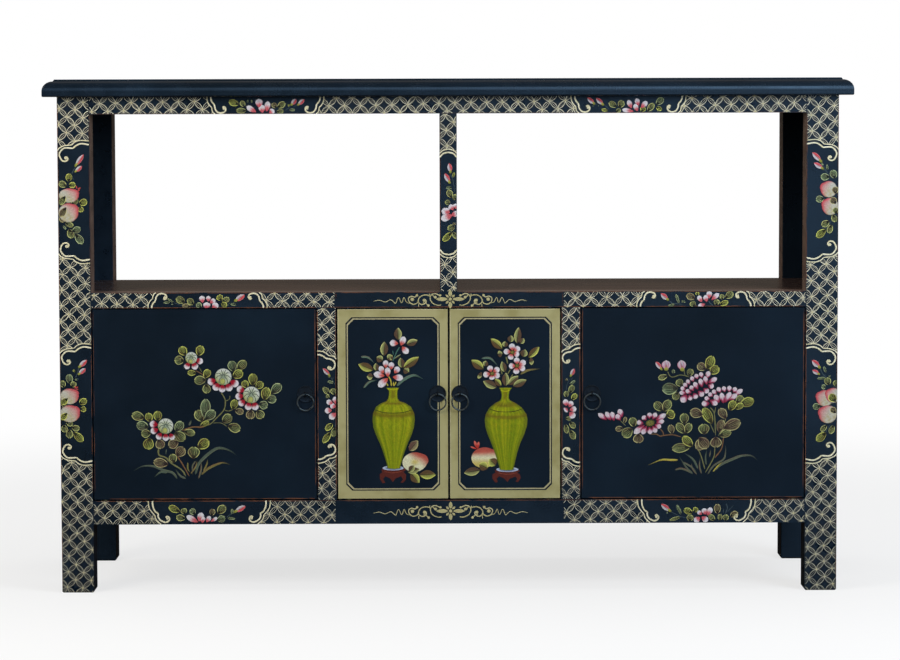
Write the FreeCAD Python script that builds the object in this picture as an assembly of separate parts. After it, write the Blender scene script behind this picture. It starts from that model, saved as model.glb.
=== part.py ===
import FreeCAD, Part
import math
import os

# A lacquered sideboard: an open shelf over three cupboards, on four square legs.
# Millimetres, +Z up, front towards -Y, origin on the floor under the middle of the frame.

# The frame, measured over its legs
FRAME_WIDTH = 1165.0
FRAME_DEPTH = 382.0
OVERALL_HEIGHT = 770.0
SHELF_HEIGHT = 452.0
CUPBOARD_FLOOR_HEIGHT = 139.0

# Legs
LEG_WIDTH = 48.0
LEG_DEPTH = 50.0
LEG_ARRIS_RADIUS = 1.5
FOOT_CHAMFER = 2.0

# Rails, and the uprights between them
RAIL_DEPTH = 36.0
TOP_RAIL_HEIGHT = 26.0
MID_RAIL_HEIGHT = 23.5
BOTTOM_RAIL_HEIGHT = 36.0
SIDE_RAIL_THICKNESS = 22.0
MULLION_WIDTH = 25.5
DIVIDER_WIDTH = 28.5

# Mortise and tenon joints
TENON_THICKNESS = 10.0
TENON_LENGTH = 30.0
SIDE_TENON_THICKNESS = 8.0
TENON_SHOULDER = 5.0
STUB_TENON_THICKNESS = 8.0
STUB_TENON_LENGTH = 12.0
GLUE_ROOM = 1.0

# Panels held in grooves
PANEL_THICKNESS = 8.0
PANEL_SETBACK = 5.0
PANEL_GROOVE_DEPTH = 6.0
PANEL_ROOM = 1.0
CENTRE_PANEL_THICKNESS = 10.0

# The shelf, the cupboard floor and the walls between the cupboards
SHELF_THICKNESS = 14.0
SHELF_LAP = 10.0
FLOOR_THICKNESS = 12.0
BOARD_REBATE = 5.0
TONGUE_THICKNESS = 5.0
TONGUE_LENGTH = 6.0
WALL_THICKNESS = 12.0
WALL_HOUSING = 4.0

# Top board, with a step and a quarter round along all four edges
TOP_THICKNESS = 26.0
TOP_OVERHANG = 20.0
TOP_ROUND_RADIUS = 15.0
TOP_STEP_DROP = 2.8
TOP_STEP_RUN = 2.0
TOP_NOSE_RADIUS = 2.0

# Wooden buttons and screws that hold the top board down
BUTTON_WIDTH = 34.0
BUTTON_LENGTH = 28.0
BUTTON_HEIGHT = 18.0
BUTTON_TONGUE_HEIGHT = 8.0
BUTTON_TONGUE_LENGTH = 9.0
BUTTON_PLAY = 0.5
BUTTON_PLACE_SHARES = (-0.75, -0.25, 0.25, 0.75)
SCREW_LENGTH = 26.0
SCREW_RADIUS = 1.75
SCREW_HEAD_RADIUS = 3.5
SCREW_HEAD_HEIGHT = 2.5

# Doors
DOOR_THICKNESS = 20.0
DOOR_GAP = 1.5
DOOR_ARRIS = 0.6

# Pivots at the top and bottom of each door
PIVOT_FROM_EDGE = 16.0
PIVOT_FROM_FACE = 7.0
PIVOT_RADIUS = 2.25
PIVOT_IN_DOOR = 14.0
PIVOT_IN_BUSH = 9.0
PIVOT_RUNNING_GAP = 0.05
PIVOT_END_PLAY = 0.3
BUSH_WALL = 1.2
BUSH_LENGTH = 10.0
BUSH_FLANGE_WIDTH = 1.4

# Ring pulls
PULL_FROM_EDGE = 16.0
PULL_HEIGHT = 299.0
PLATE_RADIUS = 12.7
PLATE_FLAT_RADIUS = 5.0
PLATE_RIM_THICKNESS = 0.8
PLATE_CENTRE_THICKNESS = 1.4
RING_OUTER_RADIUS = 13.5
RING_WIRE_RADIUS = 1.3
EYE_WIRE_RADIUS = 1.2
EYE_PLAY = 0.45
SHANK_RADIUS = 1.8
SHANK_LEG_LENGTH = 12.0
SHANK_LEG_THICKNESS = 1.5

# Magnetic catches and the plates that they hold
CATCH_WIDTH = 32.0
CATCH_DEPTH = 13.0
CATCH_HEIGHT = 12.0
CATCH_CHAMFER = 1.0
CATCH_AIR_GAP = 0.3
CATCH_SCREW_SPACING = 20.0
STRIKE_FROM_EDGE = 6.0
STRIKE_FROM_TOP = 1.0
STRIKE_HEIGHT = 10.0
STRIKE_THICKNESS = 1.2
STRIKE_PRONG_RADIUS = 1.5
STRIKE_PRONG_LENGTH = 8.0

# Sides of the polygons that stand for small circles, so that repeated small pieces stay light
WIRE_SIDES = 8
SCREW_SIDES = 8
EYE_SIDES = 16
ROUND_SIDES = 24

X, Y, Z = range(3)
SAME_PLACE = 1e-6
ALONG_X = FreeCAD.Vector(1, 0, 0)
ALONG_Y = FreeCAD.Vector(0, 1, 0)
ALONG_Z = FreeCAD.Vector(0, 0, 1)


# Spans and plain solids

def grown(span, amount):
    """A (low, high) span made longer by the same amount at both ends."""
    return (span[0] - amount, span[1] + amount)


def centred(middle, size):
    """A span of a given size about a middle."""
    return (middle - size / 2, middle + size / 2)


def middle_of(span):
    return (span[0] + span[1]) / 2


def block(x_span, y_span, z_span):
    """A box given by its three spans."""
    corner = FreeCAD.Vector(x_span[0], y_span[0], z_span[0])
    sizes = [span[1] - span[0] for span in (x_span, y_span, z_span)]
    return Part.makeBox(sizes[X], sizes[Y], sizes[Z], corner)


def joined(*shapes):
    """Several shapes made one solid, with no seams left on flush faces."""
    return shapes[0].fuse(list(shapes[1:])).removeSplitter()


def seated(solid, guests):
    """The solid with room cut in it for each guest that enters it."""
    entering = [guest for guest in guests if solid.BoundBox.intersect(guest.BoundBox)]
    return solid.cut(entering).removeSplitter() if entering else solid


def mirrored(shape):
    """The same piece on the other side of the middle plane."""
    return shape.mirror(FreeCAD.Vector(0, 0, 0), ALONG_X)


def flipped(span):
    """A span along X on the other side of the middle plane."""
    return (-span[1], -span[0])


def edges_where(shape, test):
    """The edges whose two ends both pass a test."""
    return [edge for edge in shape.Edges if all(test(vertex.Point) for vertex in edge.Vertexes)]


def near(value, target):
    return math.isclose(value, target, abs_tol=SAME_PLACE)


def polygon(radius, sides, centre, across, up):
    """The corners of a regular polygon about a centre."""
    turns = [math.tau * side / sides for side in range(sides)]
    return [centre + across * (radius * math.cos(turn)) + up * (radius * math.sin(turn)) for turn in turns]


def facet(corners):
    return Part.Face(Part.makePolygon(corners + corners[:1]))


def skinned(sections, closed=False):
    """A faceted solid through a row of like polygons, closed on itself or capped at both ends."""
    following = sections[1:] + sections[:1] if closed else sections[1:]
    faces = [] if closed else [facet(sections[0]), facet(sections[-1])]
    for one, other in zip(sections, following):
        for side in range(len(one)):
            faces.append(facet([one[side - 1], one[side], other[side], other[side - 1]]))
    solid = Part.Solid(Part.Shell(faces))
    return solid if solid.Volume > 0 else solid.reversed()


def rod(radius, sides, foot, axis, length):
    """A prism that stands for a small round bar."""
    across = ALONG_Y if axis.isEqual(ALONG_X, SAME_PLACE) else ALONG_X
    section = polygon(radius, sides, foot, across, axis.cross(across))
    return facet(section).extrude(axis * length)


# Planes that pieces share

FRONT = -FRAME_DEPTH / 2
LEG_OUTER = -FRAME_WIDTH / 2
LEG_INNER = LEG_OUTER + LEG_WIDTH
FRONT_LEG_Y = (FRONT, FRONT + LEG_DEPTH)
BACK_LEG_Y = (-FRONT - LEG_DEPTH, -FRONT)
FRONT_RAIL_Y = (FRONT, FRONT + RAIL_DEPTH)
BACK_RAIL_Y = (BACK_LEG_Y[0], BACK_LEG_Y[0] + RAIL_DEPTH)
LEFT_SIDE_X = (LEG_OUTER, LEG_OUTER + SIDE_RAIL_THICKNESS)
BETWEEN_LEGS_X = (LEG_INNER, -LEG_INNER)
BETWEEN_LEGS_Y = (FRONT_LEG_Y[1], BACK_LEG_Y[0])

TOP_UNDERSIDE = OVERALL_HEIGHT - TOP_THICKNESS
TOP_RAIL_Z = (TOP_UNDERSIDE - TOP_RAIL_HEIGHT, TOP_UNDERSIDE)
MID_RAIL_Z = (SHELF_HEIGHT - MID_RAIL_HEIGHT, SHELF_HEIGHT)
BOTTOM_RAIL_Z = (CUPBOARD_FLOOR_HEIGHT - BOTTOM_RAIL_HEIGHT, CUPBOARD_FLOOR_HEIGHT)
SHELF_Z = (SHELF_HEIGHT - SHELF_THICKNESS, SHELF_HEIGHT)
FLOOR_Z = (CUPBOARD_FLOOR_HEIGHT - FLOOR_THICKNESS, CUPBOARD_FLOOR_HEIGHT)
BACK_MID_RAIL_Z = (SHELF_Z[0] - MID_RAIL_HEIGHT, SHELF_Z[0])
BAY_Z = (SHELF_HEIGHT, TOP_RAIL_Z[0])
DOORWAY_Z = (CUPBOARD_FLOOR_HEIGHT, MID_RAIL_Z[0])

DOORWAY_WIDTH = (FRAME_WIDTH - LEG_WIDTH * 2 - DIVIDER_WIDTH * 2) / 3
LEFT_DOORWAY_X = (LEG_INNER, LEG_INNER + DOORWAY_WIDTH)
LEFT_DIVIDER_X = (LEFT_DOORWAY_X[1], LEFT_DOORWAY_X[1] + DIVIDER_WIDTH)
MULLION_X = centred(0, MULLION_WIDTH)
PIVOT_Y = FRONT + PIVOT_FROM_FACE
DOOR_Y = (FRONT, FRONT + DOOR_THICKNESS)
DOOR_Z = grown(DOORWAY_Z, -DOOR_GAP)
LEFT_DOOR_X = grown(LEFT_DOORWAY_X, -DOOR_GAP)
CENTRE_LEFT_DOOR_X = (LEFT_DIVIDER_X[1] + DOOR_GAP, -DOOR_GAP / 2)


# Joinery

class Member:
    """A straight length of timber with a tenon on both ends."""

    def __init__(self, spans, run, thin, thickness, length):
        self.spans = spans
        self.run = run
        self.thin = thin
        self.thickness = thickness
        self.length = length

    def body(self):
        """The timber between its shoulders."""
        return block(*self.spans)

    def tenons(self, room=0):
        """One bar through the member that stands out as a tenon at each end."""
        wide = ({X, Y, Z} - {self.run, self.thin}).pop()
        spans = list(self.spans)
        spans[self.run] = grown(spans[self.run], self.length + room)
        spans[self.thin] = centred(middle_of(spans[self.thin]), self.thickness)
        spans[wide] = grown(spans[wide], -TENON_SHOULDER)
        return block(*spans)

    def solid(self, guests):
        """The finished member, with mortises and grooves for its guests."""
        return seated(joined(self.body(), self.tenons()), guests)


class Panel:
    """A thin board whose four edges sit in grooves, with its corners left off."""

    def __init__(self, spans, thin):
        self.spans = spans
        self.thin = thin

    def cross(self, reach):
        arms = []
        for axis in sorted({X, Y, Z} - {self.thin}):
            spans = list(self.spans)
            spans[axis] = grown(spans[axis], reach)
            arms.append(block(*spans))
        return joined(*arms)

    def solid(self):
        return self.cross(PANEL_GROOVE_DEPTH)

    def grooves(self):
        return self.cross(PANEL_GROOVE_DEPTH + PANEL_ROOM)


def long_rail(y_span, z_span):
    """A rail across the front or the back."""
    return Member([BETWEEN_LEGS_X, y_span, z_span], X, Y, TENON_THICKNESS, TENON_LENGTH)


def side_rail(z_span):
    """A rail of the left side."""
    return Member([LEFT_SIDE_X, BETWEEN_LEGS_Y, z_span], Y, X, SIDE_TENON_THICKNESS, TENON_LENGTH)


def upright(x_span, y_span, z_span):
    """A short upright between two rails."""
    return Member([x_span, y_span, z_span], Z, Y, STUB_TENON_THICKNESS, STUB_TENON_LENGTH)


LONG_RAILS = {
    "top_rail_front": long_rail(FRONT_RAIL_Y, TOP_RAIL_Z),
    "top_rail_back": long_rail(BACK_RAIL_Y, TOP_RAIL_Z),
    "mid_rail_front": long_rail(FRONT_RAIL_Y, MID_RAIL_Z),
    "mid_rail_back": long_rail(BACK_RAIL_Y, BACK_MID_RAIL_Z),
    "bottom_rail_front": long_rail(FRONT_RAIL_Y, BOTTOM_RAIL_Z),
    "bottom_rail_back": long_rail(BACK_RAIL_Y, BOTTOM_RAIL_Z),
}
SIDE_RAILS = {
    "top_rail": side_rail(TOP_RAIL_Z),
    "mid_rail": side_rail(MID_RAIL_Z),
    "bottom_rail": side_rail(BOTTOM_RAIL_Z),
}
UPRIGHTS = {
    "mullion_front": upright(MULLION_X, FRONT_RAIL_Y, BAY_Z),
    "mullion_back": upright(MULLION_X, BACK_RAIL_Y, (BACK_MID_RAIL_Z[1], BAY_Z[1])),
    "divider_stile_left": upright(LEFT_DIVIDER_X, FRONT_RAIL_Y, DOORWAY_Z),
    "divider_stile_right": upright(flipped(LEFT_DIVIDER_X), FRONT_RAIL_Y, DOORWAY_Z),
    "top_cross_rail": Member([MULLION_X, (FRONT_RAIL_Y[1], BACK_RAIL_Y[0]), TOP_RAIL_Z],
                             Y, X, STUB_TENON_THICKNESS, STUB_TENON_LENGTH),
}

SIDE_PANEL_X = (LEG_OUTER + PANEL_SETBACK, LEG_OUTER + PANEL_SETBACK + PANEL_THICKNESS)
SIDE_PANELS = {
    "upper": Panel([SIDE_PANEL_X, BETWEEN_LEGS_Y, BAY_Z], X),
    "lower": Panel([SIDE_PANEL_X, BETWEEN_LEGS_Y, DOORWAY_Z], X),
}
BACK_PANEL_Y = centred(middle_of(BACK_RAIL_Y), PANEL_THICKNESS)
BACK_PANEL = Panel([BETWEEN_LEGS_X, BACK_PANEL_Y, (BOTTOM_RAIL_Z[1], BACK_MID_RAIL_Z[0])], Y)
CENTRE_PANEL = Panel([centred(0, CENTRE_PANEL_THICKNESS), (FRONT_RAIL_Y[1], BACK_RAIL_Y[0]), BAY_Z], X)


def leg(y_span, front_edge, inner_edge):
    """A square leg on the left side, its foot chamfered and its free arrises eased."""
    post = block((LEG_OUTER, LEG_INNER), y_span, (0, TOP_UNDERSIDE))
    post = post.makeChamfer(FOOT_CHAMFER, edges_where(post, lambda point: near(point.z, 0)))

    def free_arris(point):
        outside = near(point.x, LEG_OUTER) and near(point.y, front_edge)
        inside = near(point.x, LEG_INNER) and near(point.y, inner_edge)
        return outside or inside

    return post.makeFillet(LEG_ARRIS_RADIUS, edges_where(post, free_arris))


def board(z_span, back_reach):
    """A horizontal board let into the side rails, tongued into the front rail, round the legs."""
    side_reach = LEFT_SIDE_X[1] - BOARD_REBATE
    wide = block((side_reach, -side_reach), BETWEEN_LEGS_Y, z_span)
    deep = block(BETWEEN_LEGS_X, (FRONT_RAIL_Y[1], BACK_RAIL_Y[0] + back_reach), z_span)
    tongue_y = (FRONT_RAIL_Y[1] - TONGUE_LENGTH, FRONT_RAIL_Y[1])
    tongue = block(BETWEEN_LEGS_X, tongue_y, centred(middle_of(z_span), TONGUE_THICKNESS))
    return joined(wide, deep, tongue)


def compartment_wall():
    """The wall behind the left divider, housed in floor and shelf, notched round the back rail."""
    x_span = centred(middle_of(LEFT_DIVIDER_X), WALL_THICKNESS)
    y_span = (FRONT_RAIL_Y[1], BACK_PANEL_Y[0])
    tall = block(x_span, y_span, grown((FLOOR_Z[1], SHELF_Z[0]), WALL_HOUSING))
    tongue = block(x_span, (FRONT_RAIL_Y[1] - TONGUE_LENGTH, FRONT_RAIL_Y[1]), DOORWAY_Z)
    return seated(joined(tall, tongue), [LONG_RAILS["mid_rail_back"].body()])


# Top board and its fixings

def edge_profile(half_size):
    """Half a section through the top board: nose, quarter round and step, from a middle line."""
    face = half_size
    inner = half_size - TOP_ROUND_RADIUS
    spring = TOP_THICKNESS - TOP_STEP_DROP - TOP_ROUND_RADIUS
    crown = TOP_THICKNESS - TOP_STEP_DROP
    half_turn = math.sin(math.radians(45))
    nose_middle = TOP_NOSE_RADIUS * (1 - half_turn)

    def at(out, up):
        return FreeCAD.Vector(out, 0, TOP_UNDERSIDE + up)

    round_middle = at(inner + TOP_ROUND_RADIUS * half_turn, spring + TOP_ROUND_RADIUS * half_turn)
    return [
        Part.LineSegment(at(0, 0), at(face - TOP_NOSE_RADIUS, 0)),
        Part.Arc(at(face - TOP_NOSE_RADIUS, 0), at(face - nose_middle, nose_middle),
                 at(face, TOP_NOSE_RADIUS)),
        Part.LineSegment(at(face, TOP_NOSE_RADIUS), at(face, spring)),
        Part.Arc(at(face, spring), round_middle, at(inner, crown)),
        Part.LineSegment(at(inner, crown), at(inner - TOP_STEP_RUN, TOP_THICKNESS)),
        Part.LineSegment(at(inner - TOP_STEP_RUN, TOP_THICKNESS), at(0, TOP_THICKNESS)),
        Part.LineSegment(at(0, TOP_THICKNESS), at(0, 0)),
    ]


def moulded_bar(half_size, half_length):
    """A bar along Y with the moulding on both of its long edges."""
    wire = Part.Wire([curve.toShape() for curve in edge_profile(half_size)])
    half = Part.Face(wire).extrude(ALONG_Y * (half_length * 2))
    half.translate(ALONG_Y * -half_length)
    return joined(half, mirrored(half))


def top_board(screws):
    """Two moulded bars at right angles, of which the common part has mitred corners."""
    half_width = FRAME_WIDTH / 2 + TOP_OVERHANG
    half_depth = FRAME_DEPTH / 2 + TOP_OVERHANG
    across = moulded_bar(half_width, half_depth)
    along = moulded_bar(half_depth, half_width)
    along.rotate(FreeCAD.Vector(0, 0, 0), ALONG_Z, 90)
    return seated(across.common(along).removeSplitter(), screws)


def screw(x, y, head_z):
    """A countersunk screw that points up, its head flush at a height."""
    foot = FreeCAD.Vector(x, y, head_z)
    neck = foot + ALONG_Z * SCREW_HEAD_HEIGHT
    rim = polygon(SCREW_HEAD_RADIUS, SCREW_SIDES, foot, ALONG_X, ALONG_Y)
    waist = polygon(SCREW_RADIUS, SCREW_SIDES, neck, ALONG_X, ALONG_Y)
    tip = polygon(SCREW_RADIUS, SCREW_SIDES, foot + ALONG_Z * SCREW_LENGTH, ALONG_X, ALONG_Y)
    return skinned([rim, waist, tip])


def button_parts(share, rail_face, inward):
    """A rebated block against a rail's inner face, its slot in the rail, and its screw."""
    x = share * -LEG_INNER
    far = rail_face + inward * BUTTON_LENGTH
    tip = rail_face - inward * BUTTON_TONGUE_LENGTH
    slot_end = tip - inward * BUTTON_PLAY
    foot = TOP_UNDERSIDE - BUTTON_HEIGHT
    tongue_z = (foot, foot + BUTTON_TONGUE_HEIGHT)
    x_span = centred(x, BUTTON_WIDTH)
    body = block(x_span, sorted((rail_face, far)), (foot, TOP_UNDERSIDE))
    tongue = block(x_span, sorted((tip, far)), tongue_z)
    slot = block(grown(x_span, BUTTON_PLAY), sorted((slot_end, rail_face)), tongue_z)
    fixing = screw(x, (rail_face + far) / 2, foot)
    return seated(joined(body, tongue), [fixing]), slot, fixing


# Doors and what hangs them

def pivot_x(door_x):
    """The pivot line of a door that hangs on its left edge."""
    return door_x[0] + PIVOT_FROM_EDGE


def pivot_pins(door_x):
    """The two pins, each let into the door and standing into its bush."""
    pins = []
    for edge, inward in ((DOOR_Z[0], 1), (DOOR_Z[1], -1)):
        start = edge + inward * PIVOT_IN_DOOR
        end = edge - inward * (DOOR_GAP + PIVOT_IN_BUSH)
        foot = FreeCAD.Vector(pivot_x(door_x), PIVOT_Y, min(start, end))
        pins.append(rod(PIVOT_RADIUS, ROUND_SIDES, foot, ALONG_Z, abs(end - start)))
    return pins


def pivot_bush(door_x):
    """The flanged bush under a door, let into the bottom rail, with its flange in the gap."""
    bore = PIVOT_RADIUS + PIVOT_RUNNING_GAP
    outer = bore + BUSH_WALL
    flange = DOOR_GAP - PIVOT_END_PLAY
    foot = FreeCAD.Vector(pivot_x(door_x), PIVOT_Y, DOORWAY_Z[0] - BUSH_LENGTH)
    barrel = rod(outer, ROUND_SIDES, foot, ALONG_Z, BUSH_LENGTH)
    rim = rod(outer + BUSH_FLANGE_WIDTH, ROUND_SIDES, foot + ALONG_Z * BUSH_LENGTH, ALONG_Z, flange)
    hole = rod(bore, ROUND_SIDES, foot, ALONG_Z, BUSH_LENGTH + flange)
    return joined(barrel, rim).cut(hole), barrel


def pivot_socket(door_x):
    """The hole in the middle rail that the top pin turns in."""
    foot = FreeCAD.Vector(pivot_x(door_x), PIVOT_Y, DOORWAY_Z[1])
    return rod(PIVOT_RADIUS + PIVOT_RUNNING_GAP, ROUND_SIDES, foot, ALONG_Z, BUSH_LENGTH)


def strike_plate(door_x):
    """The plate on the back of a door near its free edge, with a prong into the wood."""
    high = door_x[1] - STRIKE_FROM_EDGE
    x_span = (high - CATCH_WIDTH, high)
    top = DOOR_Z[1] - STRIKE_FROM_TOP
    z_span = (top - STRIKE_HEIGHT, top)
    plate = block(x_span, (DOOR_Y[1], DOOR_Y[1] + STRIKE_THICKNESS), z_span)
    foot = FreeCAD.Vector(middle_of(x_span), DOOR_Y[1] - STRIKE_PRONG_LENGTH, middle_of(z_span))
    prong = rod(STRIKE_PRONG_RADIUS, SCREW_SIDES, foot, ALONG_Y, STRIKE_PRONG_LENGTH)
    return joined(plate, prong)


def magnet_catch(door_x):
    """The catch under the middle rail behind a door, and its two screws."""
    high = door_x[1] - STRIKE_FROM_EDGE
    x_span = (high - CATCH_WIDTH, high)
    near_y = DOOR_Y[1] + STRIKE_THICKNESS + CATCH_AIR_GAP
    y_span = (near_y, near_y + CATCH_DEPTH)
    foot = DOORWAY_Z[1] - CATCH_HEIGHT
    case = block(x_span, y_span, (foot, DOORWAY_Z[1]))
    case = case.makeChamfer(CATCH_CHAMFER, edges_where(case, lambda point: near(point.z, foot)))
    places = centred(middle_of(x_span), CATCH_SCREW_SPACING)
    screws = [screw(x, middle_of(y_span), foot) for x in places]
    return seated(case, screws), screws


def wire_ring(radius, sides, wire_radius, centre, axis, across):
    """A closed ring of round wire, as a chain of short straight facets."""
    sections = []
    for point in polygon(radius, sides, centre, across, axis.cross(across)):
        outward = (point - centre).normalize()
        sections.append(polygon(wire_radius, WIRE_SIDES, point, outward, axis))
    return skinned(sections, closed=True)


def eye_radius():
    """Radius of the eye's loop, along the middle of its wire."""
    return RING_WIRE_RADIUS + EYE_PLAY + EYE_WIRE_RADIUS


def eye_centre(x):
    """The middle of the eye, on which the ring hangs and turns."""
    standoff = PLATE_CENTRE_THICKNESS + eye_radius() + EYE_WIRE_RADIUS
    return FreeCAD.Vector(x, FRONT - standoff, PULL_HEIGHT)


def pull_plate(x):
    """A round back plate, bevelled towards its rim and bored for the shank."""
    def outline(radius, proud):
        centre = FreeCAD.Vector(x, FRONT - proud, PULL_HEIGHT)
        return polygon(radius, ROUND_SIDES, centre, ALONG_X, ALONG_Z)

    plate = skinned([
        outline(PLATE_RADIUS, 0),
        outline(PLATE_RADIUS, PLATE_RIM_THICKNESS),
        outline(PLATE_FLAT_RADIUS, PLATE_CENTRE_THICKNESS),
    ])
    return plate.cut(pull_shank(x))


def pull_shank(x):
    """The two halves of the split pin, side by side through plate and door."""
    start = eye_centre(x) + ALONG_Y * eye_radius()
    return rod(SHANK_RADIUS, SCREW_SIDES, start, ALONG_Y, DOOR_Y[1] - start.y)


def pull_eye(x):
    """A split pin: a loop in front, a shank through the door and two legs bent flat behind."""
    loop = wire_ring(eye_radius(), EYE_SIDES, EYE_WIRE_RADIUS, eye_centre(x), ALONG_X, ALONG_Z)
    legs = block(centred(x, SHANK_RADIUS * 2), (DOOR_Y[1], DOOR_Y[1] + SHANK_LEG_THICKNESS),
                 centred(PULL_HEIGHT, SHANK_LEG_LENGTH * 2))
    return joined(loop, pull_shank(x), legs)


def pull_ring(x):
    """The ring, hanging from the eye."""
    radius = RING_OUTER_RADIUS - RING_WIRE_RADIUS
    centre = eye_centre(x) - ALONG_Z * radius
    return wire_ring(radius, ROUND_SIDES, RING_WIRE_RADIUS, centre, ALONG_Y, ALONG_X)


def door_parts(door_x):
    """A door that hangs on its left edge, and each piece that it carries."""
    pull_at = door_x[1] - PULL_FROM_EDGE
    pins = pivot_pins(door_x)
    strike = strike_plate(door_x)
    leaf = block(door_x, DOOR_Y, DOOR_Z)
    face_edges = edges_where(leaf, lambda point: near(point.y, FRONT))
    leaf = leaf.makeChamfer(DOOR_ARRIS, face_edges)
    return {
        "door": seated(leaf, pins + [strike, pull_shank(pull_at)]),
        "pivot_pins": Part.makeCompound(pins),
        "strike_plate": strike,
        "pull_plate": pull_plate(pull_at),
        "pull_eye": pull_eye(pull_at),
        "pull_ring": pull_ring(pull_at),
    }


# Assembly

def fixings():
    """Buttons, catches, bushes and screws, and the room that they need in the frame."""
    found = {"buttons": [], "catches": [], "bushes": [], "screws": [], "seats": []}
    for rail_face, inward in ((FRONT_RAIL_Y[1], 1), (BACK_RAIL_Y[0], -1)):
        for share in BUTTON_PLACE_SHARES:
            button, slot, fixing = button_parts(share, rail_face, inward)
            found["buttons"].append(button)
            found["seats"].append(slot)
            found["screws"].append(fixing)
    for door_x in (LEFT_DOOR_X, CENTRE_LEFT_DOOR_X):
        catch, screws = magnet_catch(door_x)
        bush, seat = pivot_bush(door_x)
        seats = [seat, pivot_socket(door_x)]
        for name, pieces in (("catches", [catch]), ("screws", screws), ("bushes", [bush]), ("seats", seats)):
            found[name] += pieces + [mirrored(piece) for piece in pieces]
    return found


def carcass(hardware):
    """Every wooden piece of the fixed frame, by name."""
    members = {**LONG_RAILS, **{name + "_left": rail for name, rail in SIDE_RAILS.items()}, **UPRIGHTS}
    wall = compartment_wall()
    walls = [wall, mirrored(wall)]
    shelf = board(SHELF_Z, SHELF_LAP)
    floor = board(FLOOR_Z, BOARD_REBATE)
    panels = [SIDE_PANELS["upper"], SIDE_PANELS["lower"], BACK_PANEL, CENTRE_PANEL]
    grooves = [panel.grooves() for panel in panels]
    entering = grooves + walls + [shelf, floor] + hardware["seats"] + hardware["screws"]

    pieces = {"top_board": top_board(hardware["screws"])}
    for name, member in members.items():
        tenons = [other.tenons(GLUE_ROOM) for key, other in members.items() if key != name]
        pieces[name] = member.solid(tenons + entering)
    for name in SIDE_RAILS:
        pieces[name + "_right"] = mirrored(pieces[name + "_left"])

    tenons = [member.tenons(GLUE_ROOM) for member in members.values()]
    for name, y_span, outer, inner in (("leg_front", FRONT_LEG_Y, FRONT_LEG_Y[0], FRONT_LEG_Y[1]),
                                       ("leg_back", BACK_LEG_Y, BACK_LEG_Y[1], BACK_LEG_Y[0])):
        pieces[name + "_left"] = seated(leg(y_span, outer, inner), tenons + grooves)
        pieces[name + "_right"] = mirrored(pieces[name + "_left"])

    pieces["shelf_board"] = seated(shelf, walls + [CENTRE_PANEL.grooves()])
    pieces["floor_board"] = seated(floor, walls)
    pieces["centre_panel"] = CENTRE_PANEL.solid()
    pieces["back_panel"] = BACK_PANEL.solid()
    for name, panel in SIDE_PANELS.items():
        pieces["side_panel_" + name + "_left"] = panel.solid()
        pieces["side_panel_" + name + "_right"] = mirrored(panel.solid())
    pieces["compartment_wall_left"] = wall
    pieces["compartment_wall_right"] = walls[1]
    return pieces


def sideboard():
    """All pieces of the sideboard, by name."""
    hardware = fixings()
    pieces = carcass(hardware)
    pieces["top_buttons"] = Part.makeCompound(hardware["buttons"])
    pieces["fixing_screws"] = Part.makeCompound(hardware["screws"])
    pieces["pivot_bushes"] = Part.makeCompound(hardware["bushes"])
    pieces["magnet_catches"] = Part.makeCompound(hardware["catches"])
    for place, other, door_x in (("left", "right", LEFT_DOOR_X),
                                 ("centre_left", "centre_right", CENTRE_LEFT_DOOR_X)):
        for name, shape in door_parts(door_x).items():
            pieces[name + "_" + place] = shape
            pieces[name + "_" + other] = mirrored(shape)
    return pieces


def save(name, shape):
    """Write one node, and stop if any of its solids is faulty."""
    solids = shape.Solids
    if not solids or not shape.isValid():
        raise ValueError(name + " is not a valid solid")
    whole = solids[0] if len(solids) == 1 else Part.makeCompound(solids)
    whole.exportStep("parts/" + name + ".step")
    print(name, len(solids), round(whole.Volume))


os.makedirs("parts", exist_ok=True)
for node, piece in sideboard().items():
    save(node, piece)
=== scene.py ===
import logging
import math
import random
from dataclasses import dataclass, field
from enum import Enum
from typing import Callable, Sequence

import bmesh
import bpy
from mathutils import Matrix, Vector


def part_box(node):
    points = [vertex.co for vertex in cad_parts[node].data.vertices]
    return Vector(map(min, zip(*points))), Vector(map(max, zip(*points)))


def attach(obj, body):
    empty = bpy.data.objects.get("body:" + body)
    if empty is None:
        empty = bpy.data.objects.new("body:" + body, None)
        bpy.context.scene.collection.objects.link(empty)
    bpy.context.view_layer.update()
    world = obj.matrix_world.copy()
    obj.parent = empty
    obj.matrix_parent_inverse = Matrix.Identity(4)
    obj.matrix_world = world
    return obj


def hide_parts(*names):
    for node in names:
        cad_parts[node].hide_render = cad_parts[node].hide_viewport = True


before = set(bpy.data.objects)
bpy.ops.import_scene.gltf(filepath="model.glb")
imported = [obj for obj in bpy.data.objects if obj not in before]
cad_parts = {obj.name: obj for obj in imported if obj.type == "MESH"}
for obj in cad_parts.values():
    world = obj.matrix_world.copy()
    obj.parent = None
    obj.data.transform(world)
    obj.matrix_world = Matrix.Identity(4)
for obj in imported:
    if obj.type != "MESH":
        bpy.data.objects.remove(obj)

logging.basicConfig(level=logging.INFO, format="%(message)s")
report = logging.getLogger("sideboard")

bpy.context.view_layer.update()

MM = 0.001
FRONT_PLANE = -191.0
WHITE = (1.0, 1.0, 1.0, 1.0)
FULL_TURN = 2 * math.pi

Point = tuple[float, float]
Place = tuple[float, float, float]
Colour = tuple[float, float, float]
Stroke = tuple[float, float, float, float, float]
Line = tuple[float, ...]
Fruit = tuple[float, float, float, float]
SideOf = Callable[[float, float], Colour]
Tree = bpy.types.NodeTree
Node = bpy.types.Node
Socket = bpy.types.NodeSocket
Material = bpy.types.Material


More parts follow.
